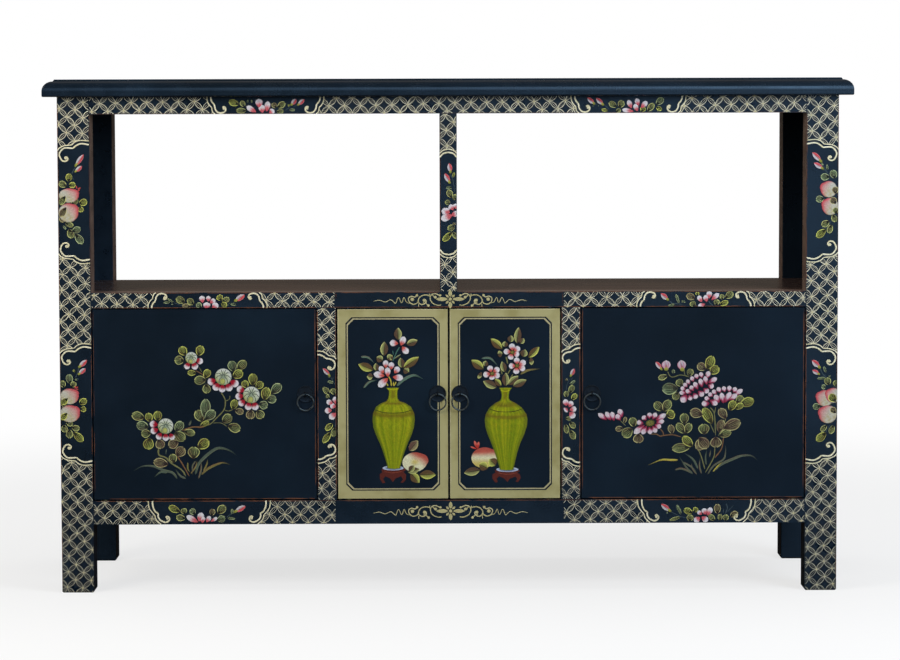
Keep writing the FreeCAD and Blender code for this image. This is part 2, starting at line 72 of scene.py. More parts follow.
class Pigment(Enum):
    """The painter's colours, as sRGB hex."""

    CREAM = "#f0ebcc"
    CREAM_THIN = "#d8d2b4"
    STAR = "#c8be90"
    GOLD = "#c4bb7c"
    WHITE = "#dcdade"
    LILAC = "#d6cbd0"
    PINK = "#d08a90"
    ROSE = "#c4545c"
    CRIMSON = "#a0182c"
    CORAL = "#c8503c"
    WINE = "#8c2038"
    MAUVE = "#b4587a"
    BARK = "#7a5a3a"
    TWIG = "#76764a"
    SAGE = "#4d5c4e"
    TEAL = "#4b7366"
    MOSS = "#72703a"
    SLATE = "#46555a"
    HEAD = "#b9c3a4"
    HEAD_DARK = "#4e5c50"
    YOLK = "#b8ac42"
    VASE = "#70820c"
    VASE_LIGHT = "#aeae1a"
    VASE_BROWN = "#6a5216"
    STAND = "#5c271e"
    STAND_LIGHT = "#84402f"
    CHINA = "#b9c6dc"

    @property
    def colour(self) -> Colour:
        """Give the linear colour."""
        return linear(self.value)


class Tint(Enum):
    """Leaf colours as root, heart, blade and edge."""

    OLIVE = ("#5c4634", "#2e3522", "#586340", "#cdd082")
    YELLOW = ("#60492e", "#3c4220", "#687038", "#e0e472")
    GREEN = ("#524636", "#2a3628", "#506044", "#c2d098")
    BROWN = ("#664a3e", "#3c3228", "#5a4e3c", "#c6c084")


def channel(value: float) -> float:
    """Turn one sRGB channel into its linear value."""
    return value / 12.92 if value <= 0.04045 else ((value + 0.055) / 1.055) ** 2.4


def linear(code: str) -> Colour:
    """Turn an sRGB hex code such as #c9bd84 into linear red, green and blue."""
    return tuple(channel(int(code[i:i + 2], 16) / 255.0) for i in (1, 3, 5))


def rgba(code: str) -> tuple[float, float, float, float]:
    """Give an sRGB hex code as a linear colour with full alpha."""
    return (*linear(code), 1.0)


def blend(first: Colour, second: Colour, share: float) -> Colour:
    """Mix two linear colours; a share of 1 gives the second."""
    share = min(1.0, max(0.0, share))
    return tuple(a + (b - a) * share for a, b in zip(first, second))


def ramp(low: float, high: float, value: float) -> float:
    """Rise smoothly from 0 at low to 1 at high."""
    t = min(1.0, max(0.0, (value - low) / (high - low)))
    return t * t * (3.0 - 2.0 * t)


def between(first: Point, second: Point, share: float) -> Point:
    """Give the point a share of the way from the first to the second."""
    return first[0] + (second[0] - first[0]) * share, first[1] + (second[1] - first[1]) * share


def around(centre: Point, reach: float, angle: float) -> Point:
    """Give the point at a distance and angle from a centre."""
    return centre[0] + reach * math.cos(angle), centre[1] + reach * math.sin(angle)


def unit(dx: float, dz: float) -> Point:
    """Bring a direction to length 1."""
    length = math.hypot(dx, dz) or 1.0
    return dx / length, dz / length


def heading(path: Sequence[Point], i: int) -> Point:
    """Give the unit direction of a path at one of its points."""
    ahead, behind = path[min(i + 1, len(path) - 1)], path[max(i - 1, 0)]
    return unit(ahead[0] - behind[0], ahead[1] - behind[1])


def side_steps(count: int) -> list[float]:
    """Give evenly spaced places across, from -1 to 1."""
    return [-1.0 + 2.0 * j / (count - 1) for j in range(count)]


def smooth_path(points: Sequence[Point], steps: int = 5) -> list[Point]:
    """Run a soft curve through a few points.

    Args:
        points: the points that the brush passes, in order.
        steps: how many short pieces lie between two of them.

    Returns:
        The points of the curve, ends included.
    """
    if len(points) < 3:
        return [between(points[0], points[-1], i / steps) for i in range(steps + 1)]
    ends = [tuple(2 * a - b for a, b in zip(points[0], points[1])), *points,
            tuple(2 * a - b for a, b in zip(points[-1], points[-2]))]
    path = []
    for p0, p1, p2, p3 in zip(ends, ends[1:], ends[2:], ends[3:]):
        for t in (i / steps for i in range(steps)):
            path.append(tuple(0.5 * (2 * b + (c - a) * t + (2 * a - 5 * b + 4 * c - d) * t * t
                                     + (3 * b - a - 3 * c + d) * t ** 3)
                              for a, b, c, d in zip(p0, p1, p2, p3)))
    return path + [tuple(points[-1])]


def add_node(tree: Tree, kind: str, inputs: dict | None = None, **settings: object) -> Node:
    """Add one node to a tree.

    Args:
        tree: the node tree.
        kind: the node's type name.
        inputs: socket name or number to a value, or to the output socket that feeds it.
        settings: the node's own settings.

    Returns:
        The new node.
    """
    node = tree.nodes.new(kind)
    for name, value in settings.items():
        setattr(node, name, value)
    for name, value in (inputs or {}).items():
        if isinstance(value, Socket):
            tree.links.new(value, node.inputs[name])
        else:
            node.inputs[name].default_value = value
    return node


def reckon(tree: Tree, operation: str, *values: Socket | float) -> Socket:
    """Work out one step of arithmetic from sockets or numbers."""
    return add_node(tree, "ShaderNodeMath", dict(enumerate(values)), operation=operation).outputs[0]


def level(tree: Tree, value: Socket, low: float, high: float, start: Socket | float = 0.0,
          end: Socket | float = 1.0, **settings: object) -> Socket:
    """Run a level from start to end while a value runs from low to high."""
    return add_node(tree, "ShaderNodeMapRange", {"Value": value, "From Min": low, "From Max": high,
                                                 "To Min": start, "To Max": end}, **settings).outputs[0]


def mix(tree: Tree, factor: Socket, first: object, second: object, data_type: str = "RGBA") -> Socket:
    """Mix two colours or numbers; a factor of 1 gives the second."""
    return add_node(tree, "ShaderNodeMix", {"Factor": factor, "A": first, "B": second},
                    data_type=data_type).outputs["Result"]


def colour_ramp(tree: Tree, factor: Socket, stops: Sequence[tuple[float, str]]) -> Socket:
    """Lay two or more hex colours, each with its place from 0 to 1, along a factor.

    Args:
        tree: the node tree.
        factor: what the colours follow.
        stops: each colour's place and hex.

    Returns:
        The colour socket.
    """
    node = add_node(tree, "ShaderNodeValToRGB", {"Fac": factor})
    marks = node.color_ramp.elements
    while len(marks) < len(stops):
        marks.new(1.0)
    for mark, (place, code) in zip(marks, stops):
        mark.position = place
        mark.color = rgba(code)
    return node.outputs["Color"]


def add_object(name: str, data: bpy.types.ID) -> bpy.types.Object:
    """Put a mesh, lamp or camera into the scene."""
    thing = bpy.data.objects.new(name, data)
    bpy.context.scene.collection.objects.link(thing)
    return thing


def add_piece(name: str, mesh: bpy.types.Mesh, body: str, node: str = "") -> None:
    """Make a closed mesh a piece of the sideboard.

    Args:
        name: the piece's name.
        mesh: its closed mesh, with its material.
        body: the moving body that carries it.
        node: the CAD node that it stands for, if any.
    """
    work = bmesh.new()
    work.from_mesh(mesh)
    bmesh.ops.recalc_face_normals(work, faces=work.faces)
    work.to_mesh(mesh)
    work.free()
    piece = add_object(name, mesh)
    bpy.context.view_layer.update()
    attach(piece, body)
    if node:
        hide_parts(node)
    report.info("%s: %d faces on %s", name, len(mesh.polygons), body)


@dataclass(frozen=True)
class Finish:
    """What every finish of the sideboard has: a name, gloss, and a way to build its nodes."""

    name: str
    roughness: float = 0.5
    specular: float = 0.5
    metallic: float = 0.0

    def start(self) -> tuple[Material, Tree, Node]:
        """Make the material with a bare shader.

        Returns:
            The material, its node tree and its shader.
        """
        material = bpy.data.materials.new(self.name)
        material.use_nodes = True
        shader = material.node_tree.nodes["Principled BSDF"]
        shader.inputs["Roughness"].default_value = self.roughness
        shader.inputs["Metallic"].default_value = self.metallic
        if not self.metallic:
            shader.inputs["Specular IOR Level"].default_value = self.specular
        return material, material.node_tree, shader

    def place(self, tree: Tree) -> Socket:
        """Give the place on the object, in metres, which moves with the piece."""
        return add_node(tree, "ShaderNodeTexCoord").outputs["Object"]

    def noise(self, tree: Tree, size: float, detail: float = 3.0, stretch: Place = (1.0, 1.0, 1.0)) -> Socket:
        """Cloud the surface.

        Args:
            tree: the node tree.
            size: width of one cloud in metres.
            detail: octaves of finer cloud.
            stretch: how much finer the cloud is along x, y and z.

        Returns:
            The factor socket.
        """
        scaled = add_node(tree, "ShaderNodeMapping", {"Vector": self.place(tree), "Scale": stretch})
        return add_node(tree, "ShaderNodeTexNoise", {"Vector": scaled.outputs[0], "Scale": 1.0 / size,
                                                     "Detail": detail}).outputs["Fac"]

    def spread(self, tree: Tree, factor: Socket, low: float, high: float) -> Socket:
        """Map the middle of a noise onto low to high."""
        return level(tree, factor, 0.3, 0.7, low, high)

    def lay(self, tree: Tree, shader: Node, colour: Socket, gloss: Socket | None, height: Socket,
            depth: float,
            strength: float) -> None:
        """Drive the shader.

        Args:
            tree: the node tree.
            shader: the shader.
            colour: its colour.
            gloss: its roughness, where that varies.
            height: what dents it.
            depth: how deep the dents are, in metres.
            strength: how much of them shows.
        """
        tree.links.new(colour, shader.inputs["Base Color"])
        if gloss:
            tree.links.new(gloss, shader.inputs["Roughness"])
        bump = add_node(tree, "ShaderNodeBump", {"Height": height, "Distance": depth, "Strength": strength})
        tree.links.new(bump.outputs[0], shader.inputs["Normal"])


@dataclass(frozen=True)
class BlackLacquer(Finish):
    """Old brushed black lacquer over a linen ground: blue-black, satin, clouded by wear.

    The linen's threads, about 0.6 mm apart, are too fine for the view, so they are drawn 2.2 mm apart.
    """

    roughness: float = 0.3
    specular: float = 0.6
    inside: bool = False
    thread: float = 0.0022
    bays: tuple[tuple[str, str, float, float], ...] = (
        ("X", "COMPARE", 0.0, 0.5349), ("Z", "COMPARE", 0.585, 0.1336), ("Y", "COMPARE", 0.0, 0.1905))

    def build(self) -> Material:
        """Build the lacquer, with the brown-stained inside of the open bays where asked for.

        Returns:
            The material.
        """
        material, tree, shader = self.start()
        cloud = self.noise(tree, 0.16, 4.0)
        colour = colour_ramp(tree, cloud, ((0.3, "#0d161e"), (0.52, "#101a24"), (0.72, "#13202b")))
        where = add_node(tree, "ShaderNodeSeparateXYZ", {0: self.place(tree)})
        if self.inside:
            mask = self.within(tree, where)
            grain = self.noise(tree, 0.05, 4.0, (0.25, 1.0, 3.0))
            brown = colour_ramp(tree, grain, ((0.3, "#655046"), (0.5, "#7b6457"), (0.72, "#8b7263")))
            colour = mix(tree, mask, colour, brown)
        gloss = self.spread(tree, self.noise(tree, 0.035, 5.0), self.roughness - 0.07, self.roughness + 0.1)
        waves = [reckon(tree, "SINE", reckon(tree, "MULTIPLY", where.outputs[axis], FULL_TURN / self.thread))
                 for axis in ("X", "Y", "Z")]
        cloth = reckon(tree, "ADD", reckon(tree, "ADD", waves[0], waves[2]), waves[1])
        rough_ground = reckon(tree, "MULTIPLY_ADD", cloth, 0.12, self.noise(tree, 0.012, 4.0))
        self.lay(tree, shader, colour, gloss, rough_ground, 0.0002, 0.35)
        return material

    def within(self, tree: Tree, where: Node) -> Socket:
        """Give a factor of 1 on the faces that look into the open bays and 0 elsewhere."""
        x, z, y = (reckon(tree, test, where.outputs[axis], middle, reach)
                   for axis, test, middle, reach in self.bays)
        return reckon(tree, "MULTIPLY", reckon(tree, "MULTIPLY", x, z), y)


@dataclass(frozen=True)
class BrushedPaint(Finish):
    """Opaque colour laid on by brush over the lacquer: each stroke keeps its own pigment and hair marks.

    Hair marks are about 0.15 mm apart and are drawn 0.9 mm apart, so that they show.
    """

    specular: float = 0.3

    def build(self) -> Material:
        """Build the paint that reads the strokes' own pigment.

        Returns:
            The material.
        """
        material, tree, shader = self.start()
        pigment = add_node(tree, "ShaderNodeVertexColor", layer_name="pigment").outputs["Color"]
        hairs = self.noise(tree, 0.0009, 3.0, (1.0, 1.0, 0.45))
        shade = self.spread(tree, hairs, 0.72, 1.12)
        colour = add_node(tree, "ShaderNodeVectorMath", {0: pigment, "Scale": shade},
                          operation="SCALE").outputs[0]
        self.lay(tree, shader, colour, self.spread(tree, hairs, 0.42, 0.6), hairs, 0.0002, 0.5)
        return material


@dataclass(frozen=True)
class Grained(Finish):
    """A finish whose colour follows one grain, and its gloss and dents too unless they have their own cloud.
    """

    grain: float = 0.006
    octaves: float = 4.0
    stretch: Place = (1.0, 1.0, 1.0)
    colours: tuple[tuple[float, str], ...] = ()
    gloss: tuple[float, float] | None = None
    gloss_cloud: float = 0.0
    dent_cloud: float = 0.0
    depth: float = 0.0001
    strength: float = 0.5

    def build(self) -> Material:
        """Build the finish.

        Returns:
            The material.
        """
        material, tree, shader = self.start()
        grain = self.noise(tree, self.grain, self.octaves, self.stretch)
        colour = colour_ramp(tree, grain, self.colours)
        gloss = None
        if self.gloss:
            gloss = self.spread(tree, self.noise(tree, self.gloss_cloud) if self.gloss_cloud else grain,
                                *self.gloss)
        height = self.noise(tree, self.dent_cloud, 2.0) if self.dent_cloud else grain
        self.lay(tree, shader, colour, gloss, height, self.depth, self.strength)
        return material


def metal(name: str, roughness: float, metallic: float, dark: str, light: str) -> Material:
    """Build a metal of the fittings, with handling marks 6 mm wide in its colour and gloss."""
    return Grained(name, roughness, metallic=metallic, colours=((0.3, dark), (0.7, light)),
                   gloss=(roughness - 0.08, roughness + 0.12)).build()


FRAME_LACQUER = BlackLacquer("brushed_black_lacquer_frame", inside=True).build()
DOOR_LACQUER = BlackLacquer("brushed_black_lacquer_doors", roughness=0.36, specular=0.25).build()
TOP_LACQUER = BlackLacquer("rubbed_glossy_black_lacquer_top", roughness=0.22, specular=0.8).build()
# Thin boards stained grey-brown by hand: the grain runs along x, and the stain leaves dull patches.
STAINED_WOOD = Grained("hand_stained_boards", 0.4, 0.1, grain=0.03, octaves=6.0, stretch=(0.12, 1.0, 1.0),
                       colours=((0.3, "#4c3b32"), (0.48, "#5b463c"), (0.7, "#695144")), gloss=(0.2, 0.3),
                       gloss_cloud=0.05, depth=0.0003, strength=0.4).build()
# Unfinished elm offcuts, sawn and left pale, for the hidden blocks under the top.
BARE_WOOD = Grained("sawn_bare_wood", 0.7, octaves=5.0, stretch=(0.2, 1.0, 1.0),
                    colours=((0.3, "#8a6a45"), (0.55, "#a98558"), (0.75, "#bd9a6c")), depth=0.0004).build()
# Moulded ABS: dull dark brown with a fine spark grain, drawn 0.8 mm coarse.
CATCH_PLASTIC = Grained("moulded_abs_catch", grain=0.0008, octaves=2.0,
                        colours=((0.3, "#2a201a"), (0.7, "#3a2e26")),
                        strength=0.3).build()
# Forged and blackened iron is dull and even. The rings are rubbed brighter by hands.
BLACK_IRON = metal("forged_black_iron", 0.5, 0.8, "#282b2f", "#3c4044")
RING_IRON = metal("handled_iron_ring", 0.3, 0.9, "#56554f", "#98948a")
STEEL = metal("turned_steel", 0.3, 1.0, "#8d8f90", "#b4b6b8")
BRASS = metal("drawn_brass", 0.32, 1.0, "#a5844a", "#c9a766")
SPRAY_PAINT = BrushedPaint("brushed_spray_colours").build()
# One ready-mixed bronze gold, rubbed thin in patches 30 mm wide.
BORDER_PAINT = Grained("brushed_bronze_border_paint", 0.48, 0.3, grain=0.03,
                       colours=((0.34, "#97905f"), (0.56, "#a9a374")), gloss=(0.4, 0.58), dent_cloud=0.0012,
                       depth=0.0002, strength=0.4).build()


@dataclass(frozen=True)
class Shape:
    """The outline of a leaf, petal or bud, from its base to its tip.

    A small fullness gives a round end, 1 a pointed one. With a peak above 1 the widest place lies past the
    middle.
    """

    stroke: Stroke
    fullness: float = 0.6
    peak: float = 1.35

    def at(self, u: float, v: float) -> Point:
        """Give the point a share along (0 to 1) and a share across (-1 to 1)."""
        x0, z0, x1, z1, width = self.stroke
        sx, sz = unit(x1 - x0, z1 - z0)
        half = 0.5 * width * math.sin(math.pi * min(u, 0.99) ** self.peak) ** self.fullness * v
        return x0 + (x1 - x0) * u + sz * half, z0 + (z1 - z0) * u - sx * half


class PaintLayer:
    """Raised paint on one board or door, laid stroke over stroke, each a closed thin body. Lengths are in
    mm.
    """

    UNDER = -0.05
    STEP = 0.07
    CROWN = 0.07
    LEAF_CROWN = 0.04
    RIM = (0.1, 0.22, 0.36, 0.5, 0.64, 0.77, 0.88, 0.96, 1.0)

    def __init__(self, name: str, seed: int, finish: Material = SPRAY_PAINT, body: str = "carcass") -> None:
        """Open an empty layer.

        Args:
            name: the piece's name.
            seed: starts this layer's own run of small irregularities.
            finish: the material of the paint.
            body: the moving body that carries the layer.
        """
        self.name = name
        self.body = body
        self.finish = finish
        self.hand = random.Random(seed)
        self.corners: list[Place] = []
        self.faces: list[tuple[int, ...]] = []
        self.pigments: list[Colour] = []
        self.coat = 1.0

    def height(self) -> float:
        """Give the height of the current coat."""
        return self.coat * self.STEP

    def next_coat(self) -> None:
        """Lay what follows over all that is there."""
        self.coat += 2.0

    def tone(self, colour: Colour, low: float, high: float) -> Colour:
        """Make a colour a little darker or lighter by hand."""
        tone = self.hand.uniform(low, high)
        return tuple(c * tone for c in colour)

    def corner(self, x: float, z: float, height: float, pigment: Colour) -> int:
        """Add one corner and return its number."""
        self.corners.append((x, FRONT_PLANE - height, z))
        self.pigments.append(pigment)
        return len(self.corners) - 1

    def bridge(self, near: Sequence[int], far: Sequence[int], closed: bool = True) -> None:
        """Join two rows of corners by faces, all the way round where the rows are closed."""
        end = len(near) if closed else len(near) - 1
        count = len(near)
        self.faces += [(near[j], near[(j + 1) % count], far[(j + 1) % count], far[j]) for j in range(end)]

    def close_under(self, rim: Sequence[int]) -> None:
        """Close a pad below its rim, so that it is a solid body."""
        under = [self.corner(self.corners[n][0], self.corners[n][2], self.UNDER, self.pigments[n])
                 for n in rim]
        self.faces.append(tuple(reversed(under)))
        self.bridge(under, rim)

    def line(self, path: Sequence[Point], width: float, pigment: Colour, taper: Point = (0.35, 0.35),
             tip: Colour | None = None, wobble: float = 0.12) -> None:
        """Draw a line with a round-backed brush.

        Args:
            path: the points along the line.
            width: full width.
            pigment: its colour.
            taper: width left at the start and at the end, as a share.
            tip: colour at the end, where it differs.
            wobble: how much the width varies by hand.
        """
        rings = []
        base = self.height()
        top = base + min(self.CROWN, 0.01 + 0.05 * width)
        spots = [(-1.0, self.UNDER), (-1.0, base), (0.0, top), (1.0, base), (1.0, self.UNDER)]
        if self.coat <= 1.5:
            spots = spots[::2]
        for i, (x, z) in enumerate(path):
            dx, dz = heading(path, i)
            share = i / (len(path) - 1)
            swell = min(1.0, taper[0] + share * 6.0) * min(1.0, taper[1] + (1.0 - share) * 6.0)
            half = 0.5 * width * swell * (1.0 + self.hand.uniform(-wobble, wobble))
            shade = self.tone(pigment if tip is None else blend(pigment, tip, share), 0.9, 1.08)
            rings.append([self.corner(x - dz * half * side, z + dx * half * side, high, shade)
                          for side, high in spots])
        for near, far in zip(rings, rings[1:]):
            self.bridge(near, far)
        self.faces += [tuple(reversed(rings[0])), tuple(rings[-1])]

    def pad(self, rows: Sequence[Sequence[Point]], shade: SideOf, crown: float | None = None) -> None:
        """Lay a crowned pad of paint over a grid whose first and last rows are single points.

        Args:
            rows: points of each row, from one side to the other.
            shade: pigment for a place along (0 to 1) and across (-1 to 1).
            crown: how far the middle stands up.
        """
        crown = self.CROWN if crown is None else crown
        numbers = []
        for i, row in enumerate(rows):
            u = i / (len(rows) - 1)
            rise = math.sqrt(max(0.0, math.sin(math.pi * u)))
            numbers.append([self.corner(x, z, self.height() + crown * (1.0 - v * v) * rise,
                                        tuple(c * self.hand.uniform(0.93, 1.06) for c in shade(u, v)))
                            for (x, z), v in zip(row, side_steps(len(row)) if len(row) > 1 else [0.0])])
        first, *middle, last = numbers
        self.close_under([first[0]] + [row[-1] for row in middle] + [last[0]]
                         + [row[0] for row in middle[::-1]])
        for end, row in ((first[0], middle[0]), (last[0], middle[-1])):
            self.faces += [(end, b, a) for a, b in zip(row, row[1:])]
        for near, far in zip(middle, middle[1:]):
            self.bridge(near, far, closed=False)

    def blade(self, stroke: Stroke, shade: SideOf, fullness: float = 0.6, peak: float = 1.35,
              grid: tuple[int, int] = (9, 9), crown: float | None = None) -> None:
        """Lay a leaf, petal or bud from its base to its tip.

        Args:
            stroke: base, tip and width.
            shade: pigment along and across.
            fullness: how round its ends are, as in Shape.
            peak: where it is widest, as in Shape.
            grid: rows along and columns across.
            crown: how far the middle stands up.
        """
        shape = Shape(stroke, fullness, peak)
        sides = side_steps(grid[1])
        self.pad([[shape.at(i / grid[0], v) for v in (sides if 0 < i < grid[0] else (0.0,))]
                  for i in range(grid[0] + 1)], shade, crown)

    def leaf(self, stroke: Stroke, tint: Tint, veined: bool = True) -> None:
        """Paint a leaf: brown root, mottled blade and a bright rim; a veined one has dark ribs and pale
        streaks.

        Args:
            stroke: base, tip and width.
            tint: its four colours.
            veined: whether it is broad and veined; else it is narrow.
        """
        root, heart, body, edge = (linear(code) for code in tint.value)
        lit = self.hand.choice((-1.0, 1.0))
        warm = self.hand.uniform(0.0, 0.45)
        dark = blend(heart, (0.006, 0.009, 0.008), 0.72)
        fullness, peak = (0.56, 1.3) if veined else (0.85, 1.0)
        at = Shape(stroke, fullness, peak).at

        def shade(u: float, v: float) -> Colour:
            """Give the colour at a share along and a share across.

            Args:
                u: share along, 0 to 1.
                v: share across, -1 to 1.

            Returns:
                The colour.
            """
            if not veined:
                colour = blend(root, blend(body, edge, 0.3), ramp(-0.1, 0.7, lit * v + 0.3 * u))
                return blend(colour, edge, 0.6 * ramp(0.55, 0.95, lit * v) + 0.2 * ramp(0.8, 1.0, u))
            colour = blend(root, body, ramp(0.05, 0.75, u + 0.35 * lit * v))
            colour = blend(colour, root, warm * ramp(0.3, -0.9, lit * v))
            colour = blend(colour, heart, 0.55 * ramp(0.5, 0.0, abs(v + 0.15 * lit)))
            return blend(colour, edge, 0.45 * ramp(0.7, 1.0, u) * ramp(-0.6, 0.6, lit * v))

        self.blade(stroke, shade, fullness, peak, grid=(8, 7), crown=self.LEAF_CROWN)
        self.coat += 0.6
        fine = min(0.62, 0.06 * stroke[4] + 0.14)
        for side in (-1.0, 1.0):
            for lean in (0.34, 0.72) if veined else ():
                reach = self.hand.uniform(0.72, 0.9) - 0.2 * lean
                rib = [at(0.08, 0.1 * side), at(0.45 * reach, 0.75 * lean * side), at(reach, lean * side)]
                self.line(smooth_path(rib, 2), 1.25 * fine, dark, (0.9, 0.2))
                streak = [at(0.34, (lean - 0.2) * side), at(reach + 0.08, (lean - 0.16) * side)]
                self.line(streak, 1.2 * fine, blend(body, edge, self.hand.uniform(0.3, 0.9)), (0.5, 0.3))
            glow = blend(body, edge, self.hand.uniform(*((0.75, 1.0) if side == lit else (0.2, 0.8))))
            if veined or side == lit:
                self.line([at(u, 0.95 * side) for u in self.RIM], 1.4 * fine, glow, (0.3, 1.0))
        self.line([at(u, 0.0) for u in (0.02, 0.3, 0.6, 0.85)], 1.3 * fine, dark, (1.0, 0.2))
        self.coat -= 0.6

    def lay_leaves(self, leaves: Sequence[tuple[Stroke, Tint]], veined: bool = True) -> None:
        """Lay leaves so that each lies on top of the earlier ones that it overlaps.

        Args:
            leaves: each leaf's stroke and tint, in order.
            veined: as for one leaf.
        """
        ground = top = self.coat
        placed: list[tuple[Point, float, float]] = []
        for stroke, tint in leaves:
            middle = between(stroke[:2], stroke[2:4], 0.5)
            reach = 0.45 * math.dist(stroke[:2], stroke[2:4])
            self.coat = max([ground] + [coat + 1.2 for spot, there, coat in placed
                                        if math.dist(middle, spot) < 0.9 * (reach + there)])
            self.leaf(stroke, tint, veined)
            placed.append((middle, reach, self.coat))
            top = max(top, self.coat)
        self.coat = top
        self.next_coat()

    def petal(self, stroke: Stroke, base: Colour, middle: Colour, tip: Colour, turn: float = 0.45,
              striped: bool = False) -> None:
        """Paint a petal whose strong base colour fades to a pale tip.

        Args:
            stroke: base, tip and width.
            base: colour at the root.
            middle: colour half way.
            tip: colour of the edge.
            turn: how far along the pale part begins.
            striped: strong colour runs up both sides, round a pale middle.
        """
        streak = self.hand.uniform(0.0, 6.28)

        def shade(u: float, v: float) -> Colour:
            """Give the colour at a share along and a share across.

            Args:
                u: share along, 0 to 1.
                v: share across, -1 to 1.

            Returns:
                The colour.
            """
            reach = u + 0.05 * math.sin(7.0 * v + streak) + (0.14 - 0.3 * abs(v) if striped else
                                                             0.1 * abs(v) - 0.1)
            colour = blend(base, middle, ramp(turn - 0.25, turn, reach))
            colour = blend(colour, tip, ramp(turn - 0.12, turn + 0.16, reach))
            colour = blend(colour, middle, 0.25 * ramp(0.2, 0.6, math.sin(5.0 * v + streak))
                           * ramp(1.0, 0.5, u))
            return tuple(c * (1.0 - 0.45 * ramp(0.93, 1.0, abs(v))) for c in colour)

        self.blade(stroke, shade, fullness=0.56, peak=1.3 if striped else 1.4, grid=(10, 9))

    def dome(self, centre: Point, radius: Point, shade: SideOf, crown: float | None = None,
             grid: tuple[int, int] = (7, 28), tilt: float = 0.0,
             outline: Callable[[float], float] = lambda angle: 1.0) -> None:
        """Lay a round pad of paint.

        Args:
            centre: its middle.
            radius: half width and half height.
            shade: pigment for a share of the radius and an angle.
            crown: how far the middle stands up.
            grid: rings and corners round.
            tilt: turn in radians.
            outline: how far the rim is pushed in or out at an angle, as a factor.
        """
        crown = self.CROWN * 1.6 if crown is None else crown
        rings, count = grid
        middle = self.corner(*centre, self.height() + crown, shade(0.0, 0.0))
        circles = []
        for share in (i / rings for i in range(1, rings + 1)):
            high = self.height() + crown * math.sqrt(1.0 - share * share)
            circle = []
            for angle in (FULL_TURN * j / count for j in range(count)):
                push = share * outline(angle)
                x, z = radius[0] * push * math.cos(angle), radius[1] * push * math.sin(angle)
                circle.append(self.corner(centre[0] + x * math.cos(tilt) - z * math.sin(tilt),
                                          centre[1] + x * math.sin(tilt) + z * math.cos(tilt), high,
                                          self.tone(shade(share, angle), 0.94, 1.05)))
            circles.append(circle)
        self.close_under(circles[-1])
        self.faces += [(middle, b, a) for a, b in zip(circles[0], circles[0][1:] + circles[0][:1])]
        for inner, outer in zip(circles, circles[1:]):
            self.bridge(inner, outer)

    def disc(self, centre: Point, size: float, inner: Colour, rim: Colour, grid: tuple[int, int] = (2, 14),
             crown: float | None = None) -> None:
        """Lay a round dot that blends from an inner colour to a rim colour."""
        self.dome(centre, (size, size), lambda r, a: blend(inner, rim, r), crown, grid)

    def sheet(self, outline: Sequence[Point], pigment: Colour) -> None:
        """Fill a flat outline, given in order round, with one colour."""
        top = [self.corner(x, z, self.height(), pigment) for x, z in outline]
        self.close_under(top)
        self.faces.append(tuple(top))

    def ribbon(self, outer: Sequence[Point], inner: Sequence[Point], colour: Colour) -> None:
        """Lay a closed flat band between two outlines of as many corners."""
        rows = [[self.corner(x, z, high, colour) for x, z in points]
                for points, high in ((outer, self.UNDER), (outer, self.height()), (inner, self.height()),
                                     (inner, self.UNDER))]
        for near, far in zip(rows, rows[1:] + rows[:1]):
            self.bridge(near, far)

    def make(self) -> None:
        """Turn the strokes into one piece that rides on its body."""
        mesh = bpy.data.meshes.new(self.name)
        mesh.from_pydata([tuple(c * MM for c in corner) for corner in self.corners], [], self.faces)
        mesh.materials.append(self.finish)
        colours = mesh.color_attributes.new("pigment", "FLOAT_COLOR", "POINT")
        for item, pigment in zip(colours.data, self.pigments):
            item.color = (*pigment, 1.0)
        chart = mesh.uv_layers.new(name="OFBake")
        xs, _, zs = zip(*self.corners)
        span = 1.02 * max(max(xs) - min(xs), max(zs) - min(zs))
        low_x, low_z = min(xs), min(zs)
        for loop in mesh.loops:
            x, _, z = self.corners[loop.vertex_index]
            chart.data[loop.index].uv = ((x - low_x) / span + 0.01, (z - low_z) / span + 0.01)
        add_piece(self.name, mesh, self.body)


class Petal(Enum):
    """Ways of painting a petal: root, middle, tip, where the pale part begins, breadth, and whether it is
    striped.
    """

    CHERRY = (Pigment.CRIMSON, Pigment.CRIMSON, Pigment.WHITE, 0.47, 0.93, False)
    ASTER_BACK = (Pigment.WINE, Pigment.MAUVE, Pigment.LILAC, 0.36, 1.1, True)
    ASTER = (Pigment.WINE, Pigment.MAUVE, Pigment.LILAC, 0.46, 1.1, True)
    BLOSSOM = (Pigment.CORAL, Pigment.PINK, Pigment.WHITE, 0.38, 0.93, False)
    PEONY = (Pigment.ROSE, Pigment.PINK, Pigment.WHITE, 0.46, 0.93, False)


def strokes_of(table: dict[Enum, tuple[Line, ...]]) -> list[tuple[Enum, Line]]:
    """List the strokes of a table, each with its colour, in order."""
    return [(colour, stroke) for colour, strokes in table.items() for stroke in strokes]


